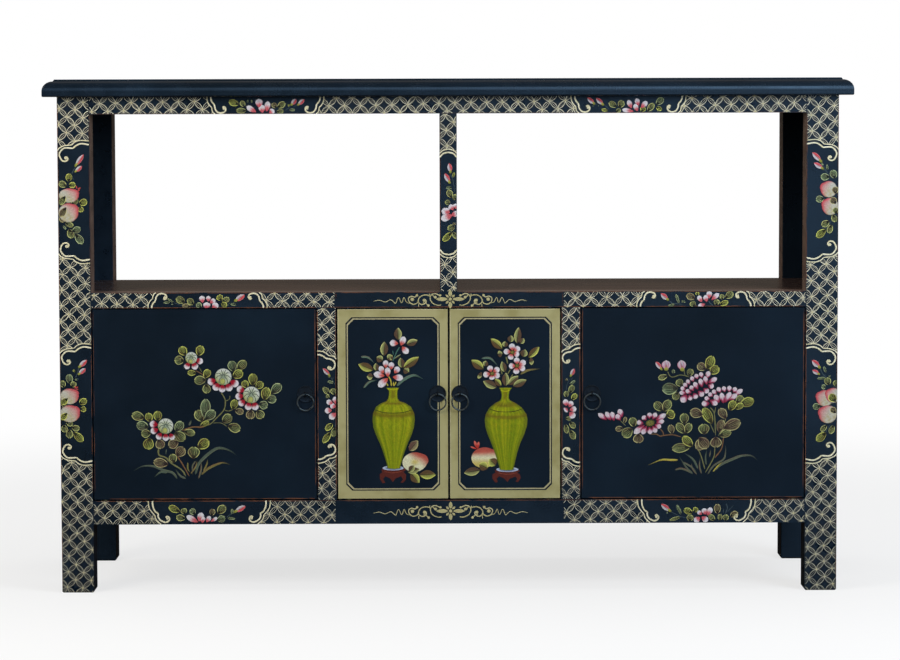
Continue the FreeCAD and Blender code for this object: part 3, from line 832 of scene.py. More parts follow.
@dataclass(frozen=True)
class Spray:
    """One painted spray, in mm on the front plane.

    Stems and blades of grass are a width, then x and z of each point. Leaves, petals, buds and crowns are
    base x, base z, tip x, tip z and width. Hearts and fruit are x, z, half width and half height; heads x, z
    and radius.
    """

    stems: dict[Pigment, tuple[Line, ...]] = field(default_factory=dict)
    blades: dict[Pigment, tuple[Line, ...]] = field(default_factory=dict)
    leaves: dict[Tint, tuple[Stroke, ...]] = field(default_factory=dict)
    petals: dict[Petal, tuple[Stroke, ...]] = field(default_factory=dict)
    buds: tuple[Stroke, ...] = ()
    heads: tuple[Place, ...] = ()
    hearts: tuple[Fruit, ...] = ()
    fruit: tuple[Fruit, ...] = ()
    crowns: tuple[Stroke, ...] = ()
    veined: bool = True

    def paint(self, layer: PaintLayer, limits: tuple[float, float, float, float] | None = None) -> None:
        """Paint the whole spray on a layer, back to front.

        Args:
            layer: the board's paint.
            limits: lowest and highest x and z that the paint may reach, for a narrow board.
        """
        first = len(layer.corners)
        for pigment, (width, *flat) in strokes_of(self.stems):
            layer.line(smooth_path(list(zip(flat[::2], flat[1::2]))), width, pigment.colour, (0.7, 0.5),
                       wobble=0.2)
        layer.next_coat()
        for pigment, (width, *flat) in strokes_of(self.blades):
            self.grass(layer, 0.78 * width, list(zip(flat[::2], flat[1::2])), pigment.colour)
        layer.next_coat()
        leaves = [(stroke, tint) for tint, stroke in strokes_of(self.leaves)]
        layer.lay_leaves([leaf for leaf in leaves if not self.on_fruit(leaf[0])], self.veined)
        for stroke in self.crowns:
            layer.petal(stroke, Pigment.ROSE.colour, Pigment.ROSE.colour, Pigment.CORAL.colour)
        for place in self.fruit:
            self.ripe(layer, place)
            layer.next_coat()
        layer.lay_leaves([leaf for leaf in leaves if self.on_fruit(leaf[0])])
        for kind, strokes in self.petals.items():
            *colours, turn, breadth, striped = kind.value
            for *ends, width in strokes:
                layer.petal((*ends, breadth * width), *(pigment.colour for pigment in colours), turn, striped)
            layer.next_coat()
        for heart in self.hearts:
            self.heart(layer, heart)
        for head in self.heads:
            self.ball(layer, head)
        for stroke in self.buds:
            self.bud(layer, stroke)
        if limits:
            low_x, high_x, low_z, high_z = limits
            layer.corners[first:] = [(min(high_x, max(low_x, x)), y, min(high_z, max(low_z, z)))
                                     for x, y, z in layer.corners[first:]]

    def on_fruit(self, stroke: Stroke) -> bool:
        """Say whether a leaf lies over a fruit."""
        x, z = between(stroke[:2], stroke[2:4], 0.5)
        return any(((x - fx) / wide) ** 2 + ((z - fz) / high) ** 2 < 0.9 for fx, fz, wide, high in self.fruit)

    def grass(self, layer: PaintLayer, width: float, points: Sequence[Point], colour: Colour) -> None:
        """Paint a blade of grass, widest before its middle, dark at the foot and lost at the tip.

        Args:
            layer: the paint that it goes on.
            width: its full width.
            points: the points that the brush passes.
            colour: its body colour.
        """
        path = smooth_path(points, 6)
        last = len(path) - 1
        rows: list[list[Point]] = [[path[0]]]
        for i, (x, z) in list(enumerate(path))[1:-1]:
            dx, dz = heading(path, i)
            half = 0.5 * width * (0.12 + math.sin(math.pi * min(1.0, 0.12 + 0.88 * i / last) ** 0.8))
            rows.append([(x + dz * half * v, z - dx * half * v) for v in side_steps(5)])
        rows.append([path[-1]])
        pale = blend(colour, linear("#b4b07e"), 0.32)
        brown = blend(colour, linear("#8a6448"), 0.6 * layer.hand.random())
        dark = blend(colour, linear("#0e1820"), 0.8)

        def shade(u: float, v: float) -> Colour:
            """Give the colour at a share along and a share across."""
            tone = blend(blend(colour, brown, ramp(0.6, -0.4, v)), pale, 0.8 * ramp(0.35, 0.9, v))
            return blend(tone, dark, 0.9 * ramp(0.55, 1.0, u) + 0.35 * ramp(0.12, 0.0, u))

        layer.pad(rows, shade)

    def heart(self, layer: PaintLayer, place: Fruit) -> None:
        """Paint a flower's heart with eleven short rays.

        Args:
            layer: the paint that it goes on.
            place: x, z, half width and half height.
        """
        x, z, wide, high = place
        dark, light = linear("#3c3a1e"), linear("#6e6c3c")
        layer.dome((x, z), (0.9 * wide, 0.95 * high), lambda r, a: blend(light, dark, r * r), grid=(3, 18),
                   tilt=0.3)
        layer.next_coat()
        for lean in (FULL_TURN * i / 11 for i in range(11)):
            ends = [(x + near * wide * math.cos(turn), z + far * high * math.sin(turn))
                    for near, far, turn in ((0.25, 0.25, lean - 0.4), (0.75, 0.8, lean))]
            layer.line(ends, 0.09 * wide, Pigment.YOLK.colour)

    def ball(self, layer: PaintLayer, head: Place) -> None:
        """Paint a round flower head: pale segments round a small yellow lobe low down.

        Args:
            layer: the paint that it goes on.
            head: x, z and radius.
        """
        x, z, radius = head
        pale, dark = Pigment.HEAD.colour, Pigment.HEAD_DARK.colour

        def shade(r: float, angle: float) -> Colour:
            """Give the colour at a share of the radius and an angle.

            Args:
                r: share of the radius.
                angle: direction from the middle.

            Returns:
                The colour.
            """
            colour = blend(linear("#8a9a84"), pale, ramp(0.05, 0.6, r))
            colour = blend(colour, linear("#dde1dc"),
                           0.8 * ramp(0.5, 0.85, r) * ramp(-0.4, 0.7, math.sin(angle + 0.5)))
            colour = blend(colour, linear("#a4a95c"),
                           0.8 * ramp(0.5, 0.9, r) * ramp(0.3, 1.0, math.cos(angle + 2.3)))
            return blend(colour, dark, 0.5 * ramp(0.93, 1.0, r))

        def spot(dx: float, dz: float) -> Point:
            """Give a place on the head, in shares of its radius."""
            return x + dx * radius, z + dz * radius

        layer.dome((x, z), (radius, radius), shade, 0.2, (8, 32))
        layer.next_coat()
        layer.coat += 2.0
        ink = blend(dark, linear("#1c2830"), 0.6)
        for i in range(6):
            angle = math.pi * (-0.06 + 1.12 * i / 5.0) + layer.hand.uniform(-0.08, 0.08)
            end = around(spot(0.0, -0.04), 0.93 * radius, angle)
            near = around(spot(0.0, 0.1), 0.1 * radius, angle)
            bow = between(near, end, 0.55)
            bow = (bow[0], bow[1] + 0.2 * radius * abs(math.cos(angle)))
            layer.line(smooth_path((near, bow, end), 4), 0.075 * radius, ink, (1.0, 0.5))
            if i < 5:
                between_lines = [around(spot(0.0, 0.06), 0.5 * radius, angle + 0.29),
                                 around((x, z), 0.86 * radius, angle + 0.29)]
                layer.line(between_lines, 0.05 * radius, blend(pale, ink, 0.6), (0.3, 0.6))
        for side in (-1.0, 1.0):
            path = smooth_path((spot(0.16 * side, 0.0), spot(0.46 * side, -0.34), spot(0.5 * side, -0.8)), 4)
            layer.line(path, 0.075 * radius, ink, (1.0, 0.5))
        layer.next_coat()
        yolk = linear("#b3b866")
        layer.dome(spot(-0.08, -0.56), (0.33 * radius, 0.38 * radius),
                   lambda r, a: blend(yolk, ink, 0.85 * r ** 6),
                   grid=(6, 18))

    def bud(self, layer: PaintLayer, stroke: Stroke) -> None:
        """Paint a closed bud: white and red halves, a dark parting and a green cup.

        Args:
            layer: the paint that it goes on.
            stroke: base, tip and width.
        """
        base, tip, width = stroke[:2], stroke[2:4], stroke[4]
        red, white = linear("#c8424a"), linear("#c4c0c4")
        side = 1.0 if tip[1] > base[1] else -1.0
        full = width > 0.75 * math.dist(base, tip)

        def shade(u: float, v: float) -> Colour:
            """Give the colour at a share along and a share across.

            Args:
                u: share along, 0 to 1.
                v: share across, -1 to 1.

            Returns:
                The colour.
            """
            if full:
                colour = blend(linear("#c07c92"), white,
                               ramp(0.1, 0.8, 0.5 + 0.5 * math.sin(9.0 * v + 0.6) + u - 0.6))
                return blend(colour, linear("#a83040"), 0.9 * ramp(0.62, 0.3, u + 0.7 * abs(v)))
            colour = blend(white, red, ramp(-0.35, 0.35, side * v + 0.8 * (u - 0.55)))
            colour = blend(colour, linear("#d8605a"), 0.7 * ramp(0.5, 1.0, u) * ramp(0.2, 0.8, side * v))
            colour = blend(colour, white, 0.5 * ramp(0.8, 1.0, abs(v)))
            return blend(colour, linear("#4a2a30"), 0.5 * ramp(0.2, 0.0, abs(v + 0.15)) * ramp(0.9, 0.6, u))

        layer.blade(stroke, shade, fullness=0.72, peak=1.1, grid=(8, 9))
        layer.next_coat()
        part = (between(base, tip, 0.2), between(base, tip, 0.75))
        layer.line(smooth_path(part, 3), 0.05 * width, linear("#5a2228"), (0.3, 0.3))
        cup = (*between(base, tip, -0.12), *between(base, tip, 0.3), 0.5 * width)
        layer.blade(cup, lambda u, v: blend(linear("#6f7436"), linear("#b5b04a"), u), 0.7, 0.8, grid=(4, 5))

    def ripe(self, layer: PaintLayer, place: Fruit) -> None:
        """Paint a ripe fruit: mottled pale body, drawn to a shoulder that blushes rose under its crown.

        Args:
            layer: the paint that it goes on.
            place: x, z, half width and half height.
        """
        x, z, wide, high = place
        lean = math.pi * (0.2 if x < 0.0 else 0.86)
        pale, blush, warm = linear("#c0c2b8"), linear("#c44a54"), linear("#b5a97c")

        def shade(r: float, angle: float) -> Colour:
            """Give the colour at a share of the radius and an angle.

            Args:
                r: share of the radius.
                angle: direction from the middle.

            Returns:
                The colour.
            """
            facing = math.cos(angle - lean)
            across, up = r * math.cos(angle), r * math.sin(angle)
            mottle = 0.5 + (0.5 * math.sin(9.0 * across + 2.0 * math.sin(5.0 * up))
                            * math.sin(8.0 * up + 1.3 * across))
            colour = blend(pale, warm, 0.85 * mottle * ramp(0.6, -0.5, up) + 0.15)
            colour = blend(colour, linear("#c98a88"), 0.85 * ramp(-0.25, 0.75, r * facing))
            colour = blend(colour, blush, 0.95 * ramp(0.55, 0.95, r * (0.76 + 0.26 * facing))
                           * ramp(-0.6, 0.2, facing))
            return blend(colour, linear("#4f3a30"), 0.4 * ramp(0.93, 1.0, r))

        layer.dome((x, z), (wide, high), shade, 0.12, (9, 36),
                   outline=lambda a: 0.97 + 0.13 * ramp(0.86, 1.0, math.cos(a - lean)))




LEFT_DOOR_SPRAY = Spray(
    stems={
        Pigment.BARK: (
            (1.6, -379, 335, -369, 329, -367, 324), (2.6, -400, 245, -384, 250, -371, 250, -359, 255),
            (2.2, -409, 208, -400, 194, -390, 176)),
        Pigment.TWIG: (
            (1.2, -374, 340, -370, 333),
            (2.2, -341, 301, -338, 297, -335, 289, -336, 279, -340, 272, -350, 262, -357, 255, -366, 252),
            (1.3, -334, 289, -329, 292, -328, 297), (1.5, -336, 275, -330, 274, -324, 276),
            (1.2, -353, 256, -342, 256, -333, 251), (1.5, -373, 252, -370, 258),
            (3, -436, 217, -435, 208, -425, 204, -416, 195, -402, 186, -395, 176)),
    },
    blades={
        Pigment.SAGE: (
            (2.4, -380, 199, -385, 191, -385, 177),
            (5, -381, 178, -376, 194, -364, 207, -350, 217, -340, 218, -328, 214, -319, 207),
            (3, -376, 172, -372, 187, -372, 199),
            (4.2, -408, 172, -415, 181, -429, 185, -444, 191, -460, 191, -474, 184),
            (3.2, -423, 181, -433, 182, -443, 174), (3.4, -395, 172, -404, 177, -411, 187),
            (1.8, -424, 217, -425, 208), (3.4, -390, 252, -386, 261)),
        Pigment.MOSS: (
            (2.6, -392, 197, -392, 187, -388, 181),
            (4, -372, 178, -362, 187, -350, 193, -339, 196, -328, 193),
            (2.6, -369, 183, -364, 193, -362, 202), (2.4, -388, 179, -380, 191, -378, 200)),
    },
    leaves={
        Tint.OLIVE: (
            (-396, 349, -410, 352, 13.5), (-363, 321, -381, 320, 13.5), (-364, 315, -362, 301, 12),
            (-317, 336, -304, 349, 13.2), (-287, 275, -280, 263, 13.5), (-340, 257, -326, 267, 14.2),
            (-332, 252, -313, 246, 14.2), (-456, 264, -475, 269, 13.5), (-447, 241, -461, 240, 12.7),
            (-411, 243, -397, 230, 15), (-398, 244, -381, 240, 10.5), (-369, 258, -378, 275, 15),
            (-383, 202, -383, 220, 18), (-412, 196, -416, 209, 12)),
        Tint.YELLOW: (
            (-393, 358, -402, 370, 12.9), (-375, 357, -370, 372, 12.6), (-378, 331, -391, 332, 8.2),
            (-366, 324, -359, 336, 11.2), (-324, 325, -309, 333, 13.5), (-302, 309, -308, 319, 10.5),
            (-294, 312, -293, 330, 13.5), (-289, 308, -279, 317, 11.2), (-277, 290, -272, 309, 14.2),
            (-324, 276, -320, 291, 11.2), (-447, 258, -452, 271, 11.2), (-437, 259, -436, 274, 12.7),
            (-448, 234, -453, 217, 16.2), (-372, 252, -360, 258, 7.5), (-377, 218, -361, 230, 15.7)),
        Tint.GREEN: (
            (-322, 333, -326, 349, 13.5), (-266, 300, -252, 314, 13.9), (-273, 290, -259, 293, 12.7),
            (-285, 285, -272, 281, 12.7), (-450, 250, -468, 254, 14.2), (-410, 243, -400, 258, 13.5),
            (-366, 263, -364, 292, 15), (-366, 261, -351, 274, 14.2)),
        Tint.BROWN: (
            (-297, 276, -298, 262, 13.5), (-321, 275, -308, 272, 9.7), (-436, 232, -431, 218, 14.2),
            (-406, 229, -420, 221, 14.2), (-409, 206, -398, 219, 15.7), (-421, 194, -443, 198, 14.2)),
    },
    petals={
        Petal.CHERRY: (
            (-388.9, 347.3, -393.9, 337.3, 9.9), (-383, 348.1, -378.2, 336.6, 11.1),
            (-379, 351.6, -368, 347.5, 10.5), (-348.7, 321.2, -361.2, 316.2, 12),
            (-344.2, 316.5, -352, 305.4, 12), (-338.9, 314.4, -340.1, 301.9, 11.1),
            (-332.9, 316, -326.8, 304, 12), (-327.5, 319.5, -315.4, 312.3, 12.6),
            (-306, 303.3, -317.4, 309, 11.4), (-307.3, 296.8, -320, 295.2, 11.4),
            (-305.3, 290.6, -314.7, 282.8, 10.8), (-298.6, 288.1, -302, 275.3, 11.7),
            (-292.7, 288.1, -288.7, 275.2, 12), (-436.1, 253.5, -448.7, 255.5, 11.4),
            (-436, 247.1, -447.3, 242.5, 10.8), (-431.2, 241.6, -437.6, 231.9, 10.2),
            (-424.7, 241, -424.8, 229.1, 10.5), (-418.4, 240.5, -413.3, 231, 9.6)),
    },
    heads=(
        (-385.4, 354, 8.8), (-337.8, 325.6, 12.4), (-295.9, 298.3, 12.4), (-424.6, 251.7, 11.5)),
)
RIGHT_DOOR_SPRAY = Spray(
    stems={
        Pigment.BARK: (
            (2, 303, 237, 311, 237, 317, 234, 322, 235, 335, 236, 348, 233),
            (2, 322, 236, 321, 240, 317, 245), (2, 412, 232, 409, 215, 399, 201)),
        Pigment.TWIG: (
            (1.8, 328, 331, 331, 325, 336, 323, 346, 326, 354, 325, 360, 323), (1.4, 352, 335, 354, 325),
            (1.9, 392, 277, 398, 267, 400, 235), (1.7, 400, 277, 398, 267),
            (1.5, 415, 275, 416, 266, 414, 257, 404, 234), (1.5, 392, 252, 398, 239),
            (2.2, 374, 214, 379, 202, 384, 184), (2.2, 399, 216, 397, 201, 385, 179),
            (1.5, 257, 258, 265, 250)),
    },
    blades={
        Pigment.SAGE: (
            (3, 388, 176, 397, 189, 412, 199, 415, 210, 415, 221),
            (4.6, 396, 180, 408, 191, 423, 198, 439, 204, 454, 204, 463, 197),
            (2.4, 386, 190, 385, 202, 387, 214), (2.2, 391, 202, 393, 214),
            (2.6, 379, 177, 376, 189, 377, 202), (3.4, 374, 184, 366, 199, 352, 209),
            (3, 366, 177, 356, 187, 345, 204), (2.6, 372, 176, 365, 186, 364, 194),
            (3.4, 339, 183, 349, 185, 361, 180, 366, 176), (3, 351, 195, 363, 188, 372, 180)),
        Pigment.YOLK: (
            (3.6, 344, 198, 332, 198, 318, 198, 298, 190), (2.6, 396, 180, 404, 189, 411, 195)),
    },
    leaves={
        Tint.OLIVE: (
            (328, 325, 314, 321, 8.2), (360, 324, 363, 335, 9.7), (349, 309, 343, 319, 11.2),
            (343, 301, 338, 289, 10.9), (431, 284, 441, 293, 12), (320, 272, 309, 285, 12.7),
            (322, 271, 331, 288, 13.5), (353, 252, 353, 268, 13.5), (354, 238, 342, 253, 12),
            (355, 238, 362, 253, 11.2), (278, 248, 274, 262, 12), (275, 246, 261, 234, 15.7),
            (383, 236, 382, 252, 16.5), (363, 218, 335, 215, 14.2), (405, 234, 423, 241, 12)),
        Tint.YELLOW: (
            (387, 334, 395, 354, 14.2), (391, 328, 404, 338, 13.5), (421, 272, 428, 287, 12),
            (436, 281, 457, 288, 14.2), (429, 275, 441, 282, 9), (395, 252, 382, 276, 14.2),
            (326, 264, 338, 269, 14.2), (366, 218, 351, 233, 12.7)),
        Tint.GREEN: (
            (337, 328, 336, 334, 4.5), (344, 306, 320, 305, 18)),
        Tint.BROWN: (
            (385, 334, 373, 342, 12.7), (416, 260, 406, 275, 12.7), (381, 266, 362, 271, 15),
            (335, 237, 332, 251, 9.7), (263, 254, 265, 263, 5.2), (261, 247, 250, 244, 8.2),
            (284, 238, 284, 224, 15.7), (386, 232, 372, 214, 16.5), (375, 232, 388, 216, 16.5),
            (400, 233, 401, 217, 17.2), (405, 239, 410, 258, 12.7), (411, 245, 437, 256, 17.2)),
    },
    petals={
        Petal.ASTER_BACK: (
            (354.7, 304, 347.2, 307.2, 5.7), (357.6, 307.8, 351.8, 313.6, 5.7),
            (361.1, 312, 356.6, 319, 5.7), (366.7, 316.3, 363, 323.8, 6.1),
            (372.6, 319.9, 369.9, 327.5, 6.1), (379.4, 321.5, 377, 330.2, 6.1),
            (386.6, 321, 389.8, 331.7, 7), (391.5, 289.8, 383.2, 291.4, 6.1),
            (395.5, 293.7, 389.1, 298.6, 6.1), (401.1, 296.9, 395, 303.4, 6.1),
            (407.5, 299.3, 402.6, 307.4, 6.4), (413.8, 300.1, 411.4, 308.9, 6.1),
            (420.2, 300.1, 420.5, 309.7, 6.4), (426.6, 299.3, 430.1, 307.6, 6.4),
            (428.2, 296, 440.2, 304, 6.7)),
        Petal.ASTER: (
            (356.4, 299.5, 345.2, 299.2, 6.1), (363.5, 299.1, 354.7, 303, 6.4),
            (366.7, 301.9, 361.9, 309.9, 6.4), (373.1, 304.2, 367.5, 315.5, 6.7),
            (379.5, 307.4, 376.3, 320.6, 7), (386.7, 311.4, 383.4, 324.2, 6.4),
            (389, 314.1, 401.8, 321.5, 7), (388.3, 310.6, 397.1, 308.2, 7.7),
            (381.9, 305.8, 389.1, 299.4, 7.7), (373.6, 301.8, 381.9, 294.6, 8),
            (366.7, 298.7, 371.5, 290.6, 7.7), (360.4, 296.6, 362.5, 287.9, 6.7),
            (356.7, 296.3, 348.4, 285.1, 9.6), (405.1, 284.1, 398.7, 296.1, 8),
            (411.5, 283.3, 408.3, 299.3, 7.3), (413.1, 284.1, 422.6, 300.1, 7.7),
            (418.7, 288.1, 432.2, 296.8, 7.3), (391.5, 288.1, 402.7, 281.4, 8),
            (390.7, 283.3, 378.8, 282.6, 8), (236.6, 259, 223.8, 268.6, 7), (243, 258.1, 235, 271, 7),
            (247.8, 257.3, 243.8, 271, 7), (259.8, 262.9, 255, 275, 8), (257.4, 258.1, 251, 266.9, 7.7),
            (296.1, 258.3, 290.1, 264.4, 7), (300.2, 260.4, 301.3, 269.5, 7),
            (305.3, 259.5, 310.9, 269.2, 7), (310.1, 257.9, 325.3, 267.5, 7.3),
            (310.9, 254.7, 322.9, 257.1, 7), (308.5, 251.5, 318.1, 247.5, 7.3),
            (305.3, 249.6, 310.9, 239.5, 7.3), (300.5, 248, 302.2, 237.1, 7.3),
            (296.5, 249.1, 289.4, 237.1, 7.3), (293.3, 250.8, 277.4, 238, 8.6),
            (291.7, 253.2, 281.7, 255.6, 7.3)),
    },
    buds=(
        (318.8, 334.5, 310, 346.1, 6.7), (325.6, 333.9, 325.6, 348.3, 13.4),
        (349.9, 333.2, 347.9, 348.5, 13.1)),
    hearts=(
        (301.7, 253.9, 8, 5.3),),
)
LEFT_VASE_SPRAY = Spray(
    veined=False,
    stems={
        Pigment.TEAL: (
            (1.6, -74, 369, -79, 360, -84, 348), (1.3, -83, 358, -84, 364)),
        Pigment.YOLK: (
            (1.8, -91, 311, -94, 316, -96, 321), (1.8, -86, 311, -87, 319, -90, 325),
            (1.6, -83, 311, -83, 317), (1.6, -82, 311, -79, 317)),
    },
    blades={
        Pigment.TEAL: (
            (3.4, -132, 355, -121, 354, -111, 345), (3.6, -128, 308, -119, 317, -107, 320),
            (5, -78, 311, -67, 321, -52, 327, -38, 321)),
    },
    leaves={
        Tint.OLIVE: (
            (-76, 380, -76, 398, 11.7), (-63, 373, -47, 379, 10.1), (-97, 356, -96, 377, 11.7),
            (-99, 349, -108, 354, 11), (-92, 351, -84, 356, 10.7), (-84, 351, -88, 354, 4.9),
            (-108, 334, -109, 345, 8.1), (-114, 325, -122, 326, 10.1), (-68, 336, -60, 332, 10.7),
            (-70, 338, -72, 353, 10.1)),
        Tint.YELLOW: (
            (-113, 335, -135, 344, 12.7), (-68, 338, -45, 354, 11.7)),
        Tint.GREEN: (
            (-82, 351, -72, 358, 2.3),),
        Tint.BROWN: (
            (-60, 213, -47, 228, 12.2),),
    },
    petals={
        Petal.BLOSSOM: (
            (-75.6, 374.9, -88.5, 375.8, 10.4), (-71.5, 371.7, -66.6, 385.2, 10.7),
            (-69.9, 370, -61, 359.7, 10.7), (-94.4, 338.3, -94.7, 349.8, 9.4),
            (-86.3, 335.9, -85.9, 346.8, 9.7), (-97.7, 330.2, -103.3, 340.8, 9.1),
            (-96.1, 326.1, -112.6, 329.4, 10.7), (-81.4, 330.1, -74.9, 339.6, 10.1),
            (-91.2, 324.5, -91.9, 339.1, 9.7), (-83.9, 324.4, -68.5, 322.8, 10.7),
            (-91.2, 322.8, -105.6, 309.8, 12)),
    },
)
RIGHT_VASE_SPRAY = Spray(
    veined=False,
    stems={
        Pigment.TWIG: (
            (2, 86, 354, 88, 344), (1.5, 92, 335, 88, 328), (1.5, 96, 328, 92, 322), (1.4, 78, 335, 80, 328)),
    },
    blades={
        Pigment.TEAL: (
            (3.6, 49, 352, 62, 352, 74, 340),),
        Pigment.MOSS: (
            (3.8, 107, 328, 119, 334, 137, 336),),
    },
    leaves={
        Tint.OLIVE: (
            (102, 374, 105, 398, 10.7), (92, 376, 93, 386, 9.4), (107, 374, 112, 382, 8.1),
            (84, 369, 85, 377, 8.8), (73, 358, 80, 359, 9.7), (111, 354, 114, 365, 11),
            (120, 347, 127, 348, 10.1), (54, 340, 56, 348, 8.1), (44, 328, 49, 325, 10.4),
            (84, 331, 80, 347, 9.1), (72, 308, 52, 318, 11.7), (85, 310, 85, 330, 10.7),
            (89, 312, 104, 325, 10.1), (96, 310, 116, 319, 10.7)),
        Tint.YELLOW: (
            (80, 366, 63, 381, 11.4), (119, 353, 135, 369, 10.1), (52, 336, 34, 349, 12.3),
            (78, 310, 69, 321, 8.1)),
    },
    petals={
        Petal.BLOSSOM: (
            (95, 363.9, 94.5, 374.4, 10.1), (97.4, 363, 106.6, 368.4, 9.7), (96.6, 359.8, 105.5, 357, 9.7),
            (94.1, 359.3, 91.7, 350, 9.4), (93, 361.9, 82, 362.3, 9.7), (102.2, 343, 101.4, 353.3, 9.7),
            (104.7, 341.8, 115.2, 347.5, 10.1), (103.9, 339.1, 114.4, 335.3, 9.7),
            (101.4, 338.6, 100.6, 328.3, 10.1), (99.8, 340.7, 89.7, 340.3, 9.7),
            (63.3, 331.4, 60.8, 341.2, 9.7), (66.5, 331.7, 75.8, 337.1, 9.7),
            (66.5, 328.1, 76.2, 324.8, 9.7), (64.1, 327.3, 64.9, 319.7, 9.4),
            (62.1, 329.4, 51.4, 326.5, 9.7)),
    },
    hearts=(
        (95.3, 361.1, 3.6, 3.2), (102.2, 341, 3.6, 3.2), (64.9, 329.3, 3.6, 3.2)),
)
LEFT_LEG_UPPER_SPRAY = Spray(
    stems={
        Pigment.SLATE: (
            (1.4, -561, 630, -558, 636, -552, 646), (1, -557, 631, -555, 633), (1, -561, 626, -558, 621)),
    },
    leaves={
        Tint.YELLOW: (
            (-566, 618, -565, 630, 9.7), (-566, 612, -556, 614, 8.7), (-551, 585, -539, 589, 10.3),
            (-550, 581, -547, 573, 8.3)),
        Tint.OLIVE: (
            (-569, 611, -580, 617, 9.7), (-571, 597, -579, 584, 8.7), (-562, 584, -553, 592, 9.2),
            (-566, 548, -562, 534, 10.3), (-572, 557, -560, 552, 7.5)),
        Tint.BROWN: (
            (-570, 580, -579, 566, 9.7), (-580, 566, -574, 558, 6.7)),
        Tint.GREEN: (
            (-562, 544, -549, 548, 9.7), (-557, 540, -546, 526, 11), (-575, 553, -571, 547, 3)),
    },
    fruit=(
        (-565.8, 597.5, 15.3, 11), (-566.6, 571.8, 15.3, 14.6)),
    crowns=(
        (-553.6, 607.4, -554.9, 612, 2), (-553, 607.4, -548, 609, 2), (-552.6, 606.5, -549.7, 604.9, 2)),
    buds=(
        (-555.4, 641.8, -543.1, 658.6, 6.7), (-556, 632.9, -545.8, 641.3, 6.3)),
)
LEFT_LEG_LOWER_SPRAY = Spray(
    stems={
        Pigment.SLATE: (
            (1.4, -559, 325, -556, 332, -554, 339), (1, -554, 322, -557, 324)),
    },
    leaves={
        Tint.OLIVE: (
            (-565, 311, -560, 318, 8.7), (-576, 310, -580, 320, 8.7), (-574, 258, -564, 254, 7.7),
            (-577, 254, -576, 243, 9.3), (-566, 250, -554, 248, 9), (-569, 248, -569, 234, 10.3)),
        Tint.YELLOW: (
            (-560, 333, -562, 337, 3), (-571, 294, -580, 285, 8.3), (-554, 285, -543, 292, 10),
            (-552, 278, -544, 277, 8.3), (-572, 272, -581, 262, 8.7), (-563, 243, -549, 229, 11)),
        Tint.GREEN: (
            (-567, 315, -569, 330, 10.3), (-557, 324, -559, 321, 2.7)),
        Tint.BROWN: (
            (-579, 285, -572, 278, 6.7), (-580, 292, -582, 283, 6.7)),
    },
    fruit=(
        (-568.4, 296.7, 14.3, 12.3), (-567.9, 270.7, 15.3, 13.3)),
    crowns=(
        (-560, 308.3, -558.8, 312.5, 2), (-559.2, 308.3, -555, 311.3, 1.7),
        (-558.3, 307.5, -554.7, 307, 1.3)),
    buds=(
        (-553.5, 340.9, -541.7, 351.2, 7.3), (-554.4, 330, -543.5, 338.7, 7)),
)
RIGHT_LEG_UPPER_SPRAY = Spray(
    stems={
        Pigment.SLATE: (
            (1.2, 556, 646, 561, 636, 566, 627), (1, 560, 634, 563, 630),
            (1.1, 573, 558, 569, 552, 564, 545)),
    },
    leaves={
        Tint.GREEN: (
            (569, 622, 556, 622, 10.3), (577, 619, 573, 632, 10.6), (566, 632, 565, 640, 3),
            (561, 590, 549, 588, 10), (560, 639, 557, 642, 2)),
        Tint.BROWN: (
            (578, 597, 577, 607, 9.7), (579, 582, 571, 590, 10.3)),
        Tint.OLIVE: (
            (579, 567, 577, 576, 8.3), (574, 566, 578, 555, 8.3), (569, 556, 558, 549, 10),
            (572, 551, 568, 538, 8.3)),
        Tint.YELLOW: (
            (564, 544, 550, 532, 10.3),),
    },
    fruit=(
        (567.8, 603.7, 12.6, 12.6), (570.1, 578, 12.6, 13.3)),
    buds=(
        (556.3, 644.9, 543, 658.8, 7.7), (559, 634.3, 545.4, 643.2, 7)),
)
RIGHT_LEG_LOWER_SPRAY = Spray(
    stems={
        Pigment.SLATE: (
            (1.2, 556, 336, 561, 326, 567, 321), (1, 561, 327, 566, 321),
            (1.1, 571, 250, 568, 244, 565, 239)),
    },
    leaves={
        Tint.OLIVE: (
            (570, 310, 566, 321, 10), (581, 308, 579, 317, 7.7), (567, 250, 558, 241, 7.3),
            (577, 250, 572, 237, 8.3)),
        Tint.GREEN: (
            (565, 329, 562, 338, 3.3), (566, 321, 552, 320, 3.3), (565, 307, 559, 308, 7),
            (557, 279, 546, 277, 9.7), (570, 325, 571, 323, 2.3)),
        Tint.YELLOW: (
            (580, 285, 571, 296, 12), (566, 239, 552, 226, 11.6)),
        Tint.BROWN: (
            (580, 268, 573, 276, 9.3),),
    },
    fruit=(
        (563.5, 290.5, 13, 12.6), (576, 294.7, 11.6, 11.6), (568.1, 266.2, 14, 14)),
    buds=(
        (555.9, 336.5, 544.2, 347.9, 8.3), (555.1, 326.5, 544.7, 332.9, 6.7)),
)
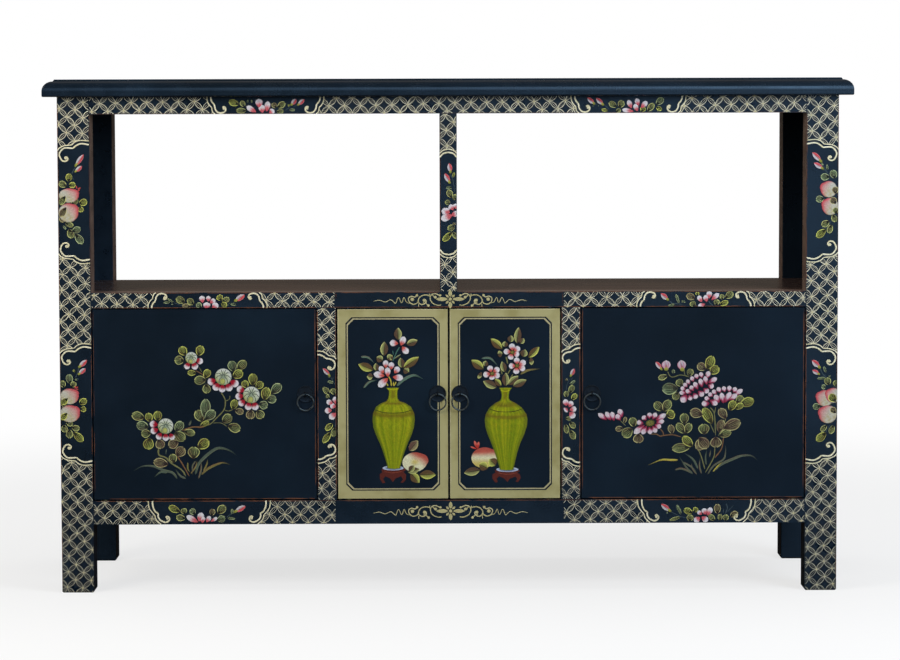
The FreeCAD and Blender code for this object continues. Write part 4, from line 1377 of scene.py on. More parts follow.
LEFT_DIVIDER_SPRAY = Spray(
    stems={
        Pigment.SLATE: (
            (1, -178, 326, -175, 321, -171, 313), (1, -170, 255, -171, 249), (1, -175, 322, -172, 324)),
    },
    leaves={
        Tint.OLIVE: (
            (-178, 298, -188, 309, 8.1), (-171, 298, -175, 307, 8.1), (-180, 293, -183, 298, 4.5),
            (-171, 249, -174, 235, 8.4)),
        Tint.GREEN: (
            (-172, 316, -181, 318, 3.6), (-181, 324, -178, 326, 2.1)),
        Tint.YELLOW: (
            (-177, 242, -189, 226, 9), (-174, 255, -185, 245, 8.4)),
    },
    petals={
        Petal.PEONY: (
            (-173.7, 284, -183.5, 288.6, 9), (-169.2, 284, -171, 295.3, 9),
            (-169.3, 279.5, -177.9, 282.5, 9.3), (-175.3, 275, -186.1, 273.5, 9.9),
            (-169.3, 270.5, -179.1, 261.8, 10.8)),
    },
    buds=(
        (-178.4, 326.5, -188.4, 337.9, 6),),
)
MULLION_SPRAY = Spray(
    stems={
        Pigment.SLATE: (
            (1, 7, 619, 8, 612, 10, 601), (1, 3, 630, 6, 622, 8, 612), (1, 5, 546, 10, 555)),
    },
    leaves={
        Tint.YELLOW: (
            (7, 623, 9, 630, 3), (5, 541, -8, 528, 8.7)),
        Tint.GREEN: (
            (6, 608, -3, 607, 4.2),),
        Tint.OLIVE: (
            (5, 592, 0, 604, 9), (12, 589, 8, 597, 7.5), (2, 583, -4, 588, 7.2), (9, 552, 0, 544, 9),
            (6, 542, 12, 532, 6.7)),
        Tint.BROWN: (
            (7, 556, 10, 552, 3),),
    },
    petals={
        Petal.PEONY: (
            (2.4, 570.5, -10.2, 573.5, 11.4), (-0.6, 569.8, -3.5, 577.3, 9), (7.7, 574.2, 1.7, 582, 9),
            (11.4, 575.7, 10.7, 583.9, 9), (6.2, 566.8, -11, 560.1, 12), (3.9, 566.8, 15.9, 569.7, 9.9)),
    },
    buds=(
        (3.3, 630.2, 1.4, 644, 7.2), (2.1, 614.8, -5.2, 629, 7.5)),
)
RIGHT_DIVIDER_SPRAY = Spray(
    stems={
        Pigment.SLATE: (
            (1, 181, 321, 177, 312, 176, 304), (1, 186, 323, 183, 319)),
    },
    leaves={
        Tint.OLIVE: (
            (181, 299, 186, 311, 8.4), (176, 293, 176, 302, 7.5), (175, 262, 183, 260, 6),
            (181, 256, 189, 247, 8.1), (175, 253, 177, 239, 7.5), (182, 244, 188, 230, 9)),
        Tint.YELLOW: (
            (184, 289, 191, 298, 7.8),),
        Tint.GREEN: (
            (181, 312, 189, 318, 3.6),),
        Tint.BROWN: (
            (177, 318, 176, 321, 3),),
    },
    petals={
        Petal.PEONY: (
            (176.3, 279.9, 174, 290.1, 9.3), (180, 278.4, 184.8, 287.1, 9.3),
            (177.8, 276.1, 173.3, 272.4, 9.3), (180.8, 273.9, 191.3, 276.1, 9.3),
            (180.8, 270.8, 188.3, 262.1, 11.1)),
    },
    buds=(
        (182.3, 325, 188.3, 336.1, 6.3),),
)
TOP_RAIL_LEFT_SPRAY = Spray(
    stems={
        Pigment.SLATE: (
            (1, -243, 723, -236, 728, -233, 732), (1, -230, 729, -224, 731)),
    },
    leaves={
        Tint.YELLOW: (
            (-311, 732, -326, 737, 9.5), (-236, 729, -238, 732, 2.5)),
        Tint.OLIVE: (
            (-303, 729, -308, 737, 7.5), (-300, 723, -315, 723, 8), (-254, 727, -243, 735, 9),
            (-256, 721, -245, 722, 6.5)),
        Tint.GREEN: (
            (-298, 735, -298, 739, 2.2), (-292, 734, -292, 739, 2.5), (-237, 724, -228, 724, 3.5)),
        Tint.BROWN: (
            (-256, 727, -261, 734, 7.5),),
    },
    petals={
        Petal.PEONY: (
            (-280, 726.7, -282.3, 740.8, 11.7), (-270.1, 721.7, -267.9, 736.8, 9.5),
            (-285.6, 720.7, -300, 729.4, 9), (-266.4, 719.2, -258.9, 724.1, 9.7),
            (-276.3, 719.5, -277.7, 731.6, 11)),
    },
    buds=(
        (-233.4, 731.2, -225.9, 740.1, 6.9), (-223.5, 731.2, -213.9, 739.6, 6.2)),
)
MID_RAIL_LEFT_SPRAY = Spray(
    stems={
        Pigment.SLATE: (
            (1, -411, 437, -406, 435, -398, 432), (1.2, -330, 432, -326, 438), (1, -325, 433, -319, 439)),
    },
    leaves={
        Tint.GREEN: (
            (-411, 437, -420, 443, 2.7), (-416, 438, -426, 437, 3.2), (-412, 434, -414, 435, 1.7),
            (-317, 433, -326, 435, 3.7), (-370, 429, -376, 436, 8.2)),
        Tint.OLIVE: (
            (-394, 437, -407, 444, 10.7), (-381, 434, -390, 442, 9.7), (-339, 438, -328, 443, 8.2)),
        Tint.BROWN: (
            (-385, 431, -398, 432, 7.7),),
        Tint.YELLOW: (
            (-340, 440, -344, 448, 9.7), (-340, 437, -332, 431, 7.5)),
    },
    petals={
        Petal.PEONY: (
            (-367.9, 436.7, -369, 447.3, 9.5), (-359.1, 438.5, -359.1, 447, 7.7),
            (-356.7, 436, -349.1, 442, 8.2), (-361.7, 427.3, -361.6, 437.5, 12),
            (-352.4, 427.3, -346.1, 436.2, 11.2)),
    },
    buds=(
        (-319.3, 439.4, -304.6, 448.4, 8.2),),
)
BOTTOM_RAIL_LEFT_SPRAY = Spray(
    stems={
        Pigment.SLATE: (
            (1, -332, 116, -327, 119, -322, 122), (1, -334, 114, -330, 117)),
    },
    leaves={
        Tint.YELLOW: (
            (-404, 122, -421, 130, 10.2),),
        Tint.OLIVE: (
            (-397, 119, -400, 127, 9.5), (-396, 112, -410, 114, 9.7), (-348, 119, -337, 131, 12.2)),
        Tint.GREEN: (
            (-382, 118, -388, 126, 9.2), (-326, 118, -326, 126, 3.5), (-334, 113, -322, 111, 3.5),
            (-349, 109, -337, 113, 10.2)),
        Tint.BROWN: (
            (-357, 116, -355, 126, 8.7),),
    },
    petals={
        Petal.PEONY: (
            (-377.5, 106.2, -394.7, 116, 9.7), (-376.3, 107.5, -371.4, 120.7, 11),
            (-370.7, 105.3, -370.6, 115, 9.5), (-365, 106.2, -358.9, 115.4, 7.7),
            (-358.1, 107.4, -348.4, 113.3, 5.7)),
    },
    buds=(
        (-322.3, 121.8, -305.7, 130.8, 7.7),),
)
TOP_RAIL_RIGHT_SPRAY = Spray(
    stems={
        Pigment.SLATE: (
            (1, 218, 733, 222, 730), (1, 231, 731, 235, 728, 240, 723)),
    },
    leaves={
        Tint.OLIVE: (
            (251, 727, 240, 734, 9), (255, 726, 260, 736, 10), (250, 720, 257, 723, 6.2),
            (297, 720, 306, 732, 8.7)),
        Tint.GREEN: (
            (310, 730, 320, 740, 9.7), (216, 728, 216, 729, 1.2), (224, 728, 224, 729, 1.2)),
        Tint.YELLOW: (
            (238, 722, 229, 723, 4.2), (310, 727, 318, 722, 6.2), (288, 720, 292, 727, 8.2)),
    },
    petals={
        Petal.PEONY: (
            (283.1, 728.2, 280.9, 739.9, 8.2), (273.4, 724.8, 268, 737.2, 8.2),
            (276.3, 720.4, 259.3, 722.9, 7.5), (287.1, 725.3, 296.5, 735.2, 8.5),
            (282.1, 720.4, 277.9, 731.3, 8)),
    },
    buds=(
        (217.9, 731.7, 207.4, 741.1, 6.7), (231, 730.4, 220.4, 740.3, 6.7)),
)
MID_RAIL_RIGHT_SPRAY = Spray(
    stems={
        Pigment.SLATE: (
            (1, 329, 439, 335, 434, 350, 432), (1.4, 389, 437, 391, 434, 395, 430)),
    },
    leaves={
        Tint.GREEN: (
            (345, 433, 340, 447, 3.7), (348, 438, 354, 435, 2.2), (339, 432, 329, 430, 3.5)),
        Tint.OLIVE: (
            (368, 429, 363, 436, 9), (401, 431, 401, 439, 8.7), (414, 441, 425, 450, 10),
            (409, 439, 409, 447, 6.5)),
        Tint.YELLOW: (
            (405, 431, 418, 436, 7.7), (372, 446, 372, 450, 6)),
        Tint.BROWN: (
            (369, 441, 356, 446, 10.2),),
    },
    petals={
        Petal.PEONY: (
            (390, 440.8, 389.7, 452.1, 9.5), (378.8, 435.3, 373.2, 445, 8), (393.1, 438.7, 404.3, 448.3, 8),
            (386.3, 435.9, 383.5, 445.9, 8.5), (383.8, 432.7, 373.2, 428.4, 7.5)),
    },
    buds=(
        (328.3, 438.9, 317.4, 448.6, 7.7),),
)
BOTTOM_RAIL_RIGHT_SPRAY = Spray(
    stems={
        Pigment.SLATE: (
            (1, 332, 121, 340, 116, 349, 112, 356, 111), (1.4, 415, 116, 418, 125, 416, 132),
            (1, 418, 119, 427, 129), (1, 412, 118, 412, 124)),
    },
    leaves={
        Tint.GREEN: (
            (349, 115, 342, 130, 4), (327, 118, 328, 118, 2)),
        Tint.OLIVE: (
            (348, 112, 332, 107, 4.7), (362, 105, 362, 115, 10), (399, 106, 391, 115, 8),
            (407, 106, 407, 116, 6.5), (416, 106, 415, 115, 9)),
        Tint.YELLOW: (
            (366, 118, 353, 123, 9.5), (368, 119, 372, 126, 7.7)),
        Tint.BROWN: (
            (403, 116, 403, 131, 10), (422, 112, 433, 119, 8.5)),
    },
    petals={
        Petal.PEONY: (
            (379.7, 115.3, 373.2, 120.4, 7.2), (385.7, 115.6, 381.6, 124.7, 9),
            (387.9, 114, 394.1, 126, 9.2), (376.6, 111.5, 368.5, 104.4, 10),
            (379.7, 112.1, 388.5, 105.2, 10.2)),
    },
    buds=(
        (332.4, 120.9, 318.3, 131.5, 7.7),),
)
class Curl(Enum):
    """How the end of a painted reserve is drawn: points are (inward, across) in mm on a board of a given
    width.
    """

    WIDE = (
        48.0,
        ((15.0, 0.0), (11.0, 3.8), (8.0, 10.5), (7.0, 19.5), (6.6, 22.0)),
        ((6.6, 22.0), (2.4, 26.7), (0.0, 35.3), (1.0, 47.4)),
        ((6.5, 47.4), (4.8, 36.3), (7.5, 28.7), (11.9, 23.3)),
        ((11.9, 23.3), (11.2, 16.5), (11.9, 9.6), (17.8, 4.1), (23.1, 3.4), (29.7, 6.9), (31.1, 12.3),
         (27.8, 15.8),
         (24.0, 13.7)),
        (26.0, 12.6),
    )
    NARROW = (
        23.5,
        ((11.9, 0.0), (9.1, 2.1), (7.7, 4.8), (7.0, 8.9)),
        ((7.0, 8.9), (4.3, 11.3), (1.5, 15.1), (0.2, 19.3), (0.0, 23.4)),
        ((5.5, 23.0), (6.0, 19.3), (8.1, 15.5), (10.5, 13.4)),
        ((10.5, 13.4), (11.5, 10.3), (12.2, 6.9), (15.0, 3.1), (19.8, 1.4), (24.9, 2.4), (27.7, 5.2),
         (27.3, 8.6),
         (24.9, 10.0), (22.8, 8.7)),
        (25.1, 7.2),
    )
    DEEP = (
        36.0,
        ((19.0, 0.2), (14.3, 4.5), (11.2, 8.3), (10.1, 12.7), (8.8, 15.1)),
        ((8.8, 15.1), (6.0, 17.9), (2.9, 22.0), (0.9, 26.8), (0.0, 35.6)),
        ((6.5, 35.6), (6.5, 31.3), (7.7, 25.1), (10.5, 19.6), (15.3, 16.2)),
        ((15.3, 16.2), (14.6, 13.1), (16.0, 8.9), (19.1, 5.8), (24.6, 3.4), (28.7, 4.1), (31.5, 6.9),
         (31.2, 10.3),
         (28.7, 12.3), (26.0, 10.8)),
        (28.3, 9.0),
    )
    DOME = (
        24.0,
        ((6.3, 0.0), (2.0, 5.0), (0.0, 12.0)),
        ((0.0, 12.0), (2.0, 19.0), (6.3, 24.0)),
        ((12.3, 0.0), (6.8, 5.0), (4.8, 12.0)),
        ((4.8, 12.0), (6.8, 19.0), (12.3, 24.0)),
        None,
    )


@dataclass(frozen=True)
class Reserve:
    """A cartouche on a board: its two ends along the board, its end pattern and the side its curls sit on."""

    start: float
    end: float
    curl: Curl
    curls_low: bool
    spray: Spray


@dataclass(frozen=True)
class Board:
    """One front board of the frame with its coin lattice and reserves, in mm on the front plane.

    The lattice's own numbers are its tilt in degrees, its pitch, the widths of the arcs and of the inner
    lines, the bare edge of the board and how round the arcs are.
    """

    name: str
    left: float
    right: float
    low: float
    high: float
    upright: bool
    seed: int
    reserves: tuple[Reserve, ...] = ()
    skew: float = 0.0
    pitch: float = 11.75
    line: float = 1.04
    fine: float = 0.42
    single: float = 0.64
    edge: float = 0.7
    bow: float = 0.84

    def place(self, reserve: Reserve, spot: Point, from_start: bool) -> Point:
        """Turn a place on a reserve's end into x and z.

        Args:
            reserve: the reserve.
            spot: distance from the reserve's end, and from the side of the curls.
            from_start: true for the lower or left end.

        Returns:
            The point in mm.
        """
        inward, across = spot
        along = reserve.start + inward if from_start else reserve.end - inward
        low, high = (self.left, self.right) if self.upright else (self.low, self.high)
        side = across * (high - low) / reserve.curl.value[0]
        side = low + side if reserve.curls_low else high - side
        return (side, along) if self.upright else (along, side)

    def outline(self, reserve: Reserve) -> list[Point]:
        """Give the closed outer outline of a reserve."""
        _, first, second, *_ = reserve.curl.value
        rim = smooth_path(first, 4)[:-1] + smooth_path(second, 4)
        return [self.place(reserve, spot, True) for spot in rim] + [self.place(reserve, spot, False)
                                                                    for spot in reversed(rim)]

    def free(self, point: Point, outlines: Sequence[Sequence[Point]]) -> bool:
        """Say whether a point lies on the board's ground, outside its reserves.

        Args:
            point: x and z.
            outlines: the closed outlines of the reserves.

        Returns:
            True on the ground.
        """
        x, z = point
        if not (self.left + self.edge < x < self.right - self.edge
                and self.low + self.edge < z < self.high - self.edge):
            return False
        for outline in outlines:
            odd = False
            for (xa, za), (xb, zb) in zip(outline, outline[1:] + [outline[0]]):
                if (za > z) != (zb > z) and x < (xb - xa) * (z - za) / (zb - za) + xa:
                    odd = not odd
            if odd:
                return False
        return True

    def lay_run(self, layer: PaintLayer, run: Sequence[Point], free: Callable[[Point], bool], width: float,
                colour: Colour) -> None:
        """Draw the parts of a lattice line that lie free, darkened toward the floor as painted shade, cut
        where it leaves the ground.

        Args:
            layer: the paint that it goes on.
            run: the points of the lattice line.
            free: tells whether a point lies on the ground.
            width: the line's full width.
            colour: its colour at the top of the board.
        """
        inside = [free(point) for point in run]
        # painted shade: the lattice colour is blended toward black lower down the board, darkest at the floor
        colour = blend((0.0, 0.0, 0.0), colour, 0.54 + 0.46 * ramp(0.0, 300.0, run[0][1]))
        part: list[Point] = []
        for i, point in enumerate(run):
            if inside[i] and i and not inside[i - 1]:
                part = [self.crossing(run[i - 1], point, free)]
            if inside[i]:
                part.append(point)
            if (not inside[i] or i == len(run) - 1) and part:
                if not inside[i]:
                    part.append(self.crossing(point, part[-1], free))
                if len(part) > 1 and math.dist(part[0], part[-1]) > 0.8:
                    layer.line(part, width * layer.hand.uniform(0.82, 1.18), colour, (0.7, 0.6))
                part = []

    @staticmethod
    def crossing(outside: Point, inside: Point, free: Callable[[Point], bool]) -> Point:
        """Find where a short line leaves the free ground, by halving it six times."""
        for _ in range(6):
            middle = between(outside, inside, 0.5)
            outside, inside = (outside, middle) if free(middle) else (middle, inside)
        return inside

    def lattice(self, layer: PaintLayer) -> None:
        """Draw the coin lattice: quarter arcs between star points, each lens with one or two finer inner
        lines.

        Args:
            layer: the paint that it goes on.
        """
        outlines = [self.outline(reserve) for reserve in self.reserves]
        hand, pitch = layer.hand, self.pitch
        wide, tall = self.right - self.left, self.high - self.low
        cos, sin = math.cos(math.radians(self.skew)), math.sin(math.radians(self.skew))
        ox = 0.5 * (self.left + self.right) + hand.uniform(-2.0, 2.0)
        oz = 0.5 * (self.low + self.high) + hand.uniform(-5.0, 5.0)
        reach = int(math.hypot(wide, tall) / pitch / 2) + 2
        columns, rows = (min(reach, int(length / pitch / 2) + 3) for length in (wide, tall))
        wander = [hand.uniform(0.0, 6.28) for _ in range(4)]

        def free(point: Point) -> bool:
            """Say whether a point lies on the bare ground."""
            return self.free(point, outlines)

        def spot(u: float, v: float) -> Point:
            """Turn steps of the lattice into x and z, with the hand's slow wander.

            Args:
                u: steps across.
                v: steps up.

            Returns:
                The point in mm.
            """
            x, z = u * pitch, v * pitch
            x += 0.5 * math.sin(z / 31.0 + wander[0]) + 0.25 * math.sin(x / 17.0 + wander[1])
            z += 0.5 * math.sin(x / 37.0 + wander[2]) + 0.25 * math.sin(z / 19.0 + wander[3])
            return ox + x * cos - z * sin, oz + x * sin + z * cos

        def quarter(i: int, j: int, ax: int, az: int) -> None:
            """Draw one quarter arc from a crossing, and the inner lines of its lens.

            Args:
                i: the crossing's column.
                j: the crossing's row.
                ax: first arm's step across.
                az: first arm's step up.
            """
            bx, bz = -az, ax
            bow = self.bow + hand.uniform(-0.05, 0.05)
            arc = []
            for angle in (0.5 * math.pi * k / 7 for k in range(8)):
                near, far = math.cos(angle), math.sin(angle)
                flat = far / (near + far)
                p, q = bow * near + (1.0 - bow) * (1.0 - flat), bow * far + (1.0 - bow) * flat
                arc.append(spot(i + ax * p + bx * q, j + az * p + bz * q))
            self.lay_run(layer, arc, free, self.line, Pigment.CREAM.colour)
            pair = (7 * (2 * i + ax + bx) + 13 * (2 * j + az + bz)) % 10 < 2
            if not pair and (ax < 0 or az < 0):
                return
            sag = hand.uniform(0.08, 0.12) if pair else hand.uniform(-0.02, 0.02)
            inner = []
            for t in (0.07 + 0.86 * k / 5 for k in range(6)):
                out = sag * (1.0 - (2.0 * t - 1.0) ** 2) / math.sqrt(2.0)
                inner.append(spot(i + ax * (1 - t) + bx * t + out * (ax + bx),
                                  j + az * (1 - t) + bz * t + out * (az + bz)))
            self.lay_run(layer, inner, free, self.fine if pair else self.single, Pigment.CREAM_THIN.colour)

        dots = []
        for i in range(-columns, columns + 1):
            for j in range(-rows, rows + 1):
                if (i + j) % 2:
                    dots.append(spot(i + hand.uniform(-0.03, 0.03), j + hand.uniform(-0.03, 0.03)))
                    continue
                for ax, az in ((1, 0), (0, 1), (-1, 0), (0, -1)):
                    quarter(i, j, ax, az)
        layer.next_coat()
        star = Pigment.STAR.colour
        for dot in dots:
            if free(dot):
                layer.disc(dot, hand.uniform(1.1, 1.7), star, star, (1, 7), 0.05)

    def outline_strokes(self, layer: PaintLayer, reserve: Reserve) -> None:
        """Draw the outer line, the bolder inner line and the curls of a reserve.

        Args:
            layer: the paint that it goes on.
            reserve: the reserve.
        """
        cream, gold = Pigment.CREAM.colour, Pigment.GOLD.colour
        _, *strokes, dot = reserve.curl.value
        for from_start in (True, False):
            for points, width in zip(strokes, (1.5, 1.5, 2.2, 2.2)):
                path = smooth_path([self.place(reserve, spot, from_start) for spot in points], 6)
                layer.line(path, width, cream, (0.75, 0.8), blend(cream, gold, 0.5), wobble=0.07)
            if dot:
                layer.disc(self.place(reserve, dot, from_start), 2.2 if reserve.curl is Curl.WIDE else 1.7,
                           gold, cream)

    def dress(self) -> None:
        """Paint the board: lattice, reserve outlines, then the sprays in the reserves."""
        ground = PaintLayer(f"lattice_{self.name}", self.seed)
        self.lattice(ground)
        ground.next_coat()
        for reserve in self.reserves:
            self.outline_strokes(ground, reserve)
        ground.make()
        for number, reserve in enumerate(self.reserves):
            spray = PaintLayer(f"spray_{self.name}_{number + 1}", self.seed + 100 + number)
            reserve.spray.paint(spray, (self.left + 0.6, self.right - 0.6, self.low + 0.6, self.high - 0.6))
            spray.make()


@dataclass(frozen=True)
class Arabesque:
    """The scrolled band in the middle of a rail: an eight-petalled flower between mirrored scrolls."""

    name: str
    centre: Point
    seed: int
    scale: float = 1.0

    SCROLLS = (
        (2.1, ((13.8, -8.8), (19.5, -9.2), (27.0, -5.6), (30.4, 1.2), (28.4, 6.6), (22.6, 8.2), (17.5, 6.2),
               (15.6, 6.0))),
        (1.9, ((27.8, 7.6), (24.2, 3.4), (20.4, 2.2))),
        (2.1, ((29.6, 3.0), (32.6, 5.6), (39.8, 6.2), (46.0, 3.0), (48.4, -3.2), (44.4, -7.8), (39.6, -7.4),
               (36.4, -4.0), (37.6, -0.8), (40.0, -1.6))),
        (1.6, ((41.0, -5.4), (36.6, -6.6), (33.4, -9.8))),
        (2.1, ((47.6, -2.0), (50.8, -6.4), (57.0, -7.6), (62.0, -3.8), (62.8, 1.6), (58.6, 4.4), (53.4, 3.2),
               (50.6, 5.6))),
        (1.3, ((61.6, -6.2), (66.4, -4.0), (69.4, 2.0), (70.8, 1.4), (72.4, -4.4), (74.4, -4.6), (77.2, 1.6),
               (79.4, 1.2), (82.0, -5.6), (84.0, -5.4), (90.0, -0.8), (98.0, -4.0), (107.0, -1.4),
               (116.0, -3.0))),
        (1.5, ((47.6, -7.0), (48.0, -11.6))),
        (1.5, ((31.6, 4.6), (31.2, 8.4))),
    )
    DOTS = ((15.2, 5.6, 1.8), (22.6, 3.0, 2.3), (39.2, -1.8, 2.5), (33.0, -9.8, 2.0), (57.4, -0.2, 2.7),
            (50.4, 5.8, 2.0))

    def dress(self) -> None:
        """Paint the flower and both halves of the scroll."""
        layer = PaintLayer(self.name, self.seed)
        gold, pale = linear("#b3ab78"), linear("#c8c193")
        cx, cz = self.centre
        for way in (-self.scale, self.scale):
            for width, points in self.SCROLLS:
                path = smooth_path([(cx + way * x, cz + z * self.scale) for x, z in points], 6)
                layer.line(path, width * self.scale, gold, (0.8, 0.5), pale, wobble=0.08)
            for x, z, size in self.DOTS:
                layer.disc((cx + way * x, cz + z * self.scale), size * self.scale, pale, gold)
        layer.next_coat()
        for i in range(8):
            width, reach = (3.2, 9.6) if i % 2 else (5.6, 14.2 if i % 4 else 22.0)
            ends = [around(self.centre, far * self.scale, FULL_TURN * i / 8) for far in (3.4, reach)]
            layer.blade((*ends[0], *ends[1], width * self.scale),
                        lambda u, v: blend(gold, pale, 0.6 * abs(v)),
                        0.75, 0.95, grid=(8, 7))
        layer.disc(self.centre, 2.5 * self.scale, pale, gold, (3, 16))
        layer.make()


LATTICE_BOARDS = (
    Board("leg_left", -582.5, -534.5, 0.0, 744.0, True, 11, (
        Reserve(192.9, 375.9, Curl.WIDE, True, LEFT_LEG_LOWER_SPRAY),
        Reserve(495.7, 679.6, Curl.WIDE, True, LEFT_LEG_UPPER_SPRAY)), skew=-2.5),
    Board("leg_right", 534.5, 582.5, 0.0, 744.0, True, 12, (
        Reserve(192.2, 372.4, Curl.WIDE, False, RIGHT_LEG_LOWER_SPRAY),
        Reserve(494.9, 677.8, Curl.WIDE, False, RIGHT_LEG_UPPER_SPRAY)), skew=3.0),
    Board("top_rail", -534.5, 534.5, 718.0, 744.0, False, 13, (
        Reserve(-358.8, -184.7, Curl.NARROW, True, TOP_RAIL_LEFT_SPRAY),
        Reserve(183.1, 354.4, Curl.NARROW, True, TOP_RAIL_RIGHT_SPRAY)), skew=1.2),
    Board("mid_rail_left", -534.5, -170.0, 428.5, 452.0, False, 14, (
        Reserve(-449.5, -271.4, Curl.NARROW, False, MID_RAIL_LEFT_SPRAY),), skew=-1.8),
    Board("mid_rail_right", 171.5, 534.5, 428.5, 452.0, False, 15, (
        Reserve(281.3, 457.6, Curl.NARROW, False, MID_RAIL_RIGHT_SPRAY),), skew=2.1),
    Board("bottom_rail_left", -534.5, -170.0, 103.0, 139.0, False, 16, (
        Reserve(-452.0, -268.6, Curl.DEEP, True, BOTTOM_RAIL_LEFT_SPRAY),), skew=-1.5),
    Board("bottom_rail_right", 171.5, 534.5, 103.0, 139.0, False, 17, (
        Reserve(282.9, 460.2, Curl.DEEP, True, BOTTOM_RAIL_RIGHT_SPRAY),), skew=1.6),
    Board("divider_left", -197.2, -168.7, 139.0, 428.5, True, 18, (
        Reserve(195.1, 363.7, Curl.NARROW, False, LEFT_DIVIDER_SPRAY),), skew=-3.0),
    Board("divider_right", 168.7, 197.2, 139.0, 428.5, True, 19, (
        Reserve(189.1, 372.7, Curl.NARROW, True, RIGHT_DIVIDER_SPRAY),), skew=2.0),
    Board("mullion", -12.75, 12.75, 452.0, 718.0, True, 20, (
        Reserve(502.6, 665.2, Curl.DOME, True, MULLION_SPRAY),), skew=2.6),
)


@dataclass(frozen=True)
class SideDoor:
    """A single door with one flower spray on plain black lacquer."""

    body: str
    seed: int
    spray: Spray

    def dress(self) -> None:
        """Paint the spray."""
        layer = PaintLayer(f"spray_{self.body}", self.seed, body=self.body)
        self.spray.paint(layer)
        layer.make()


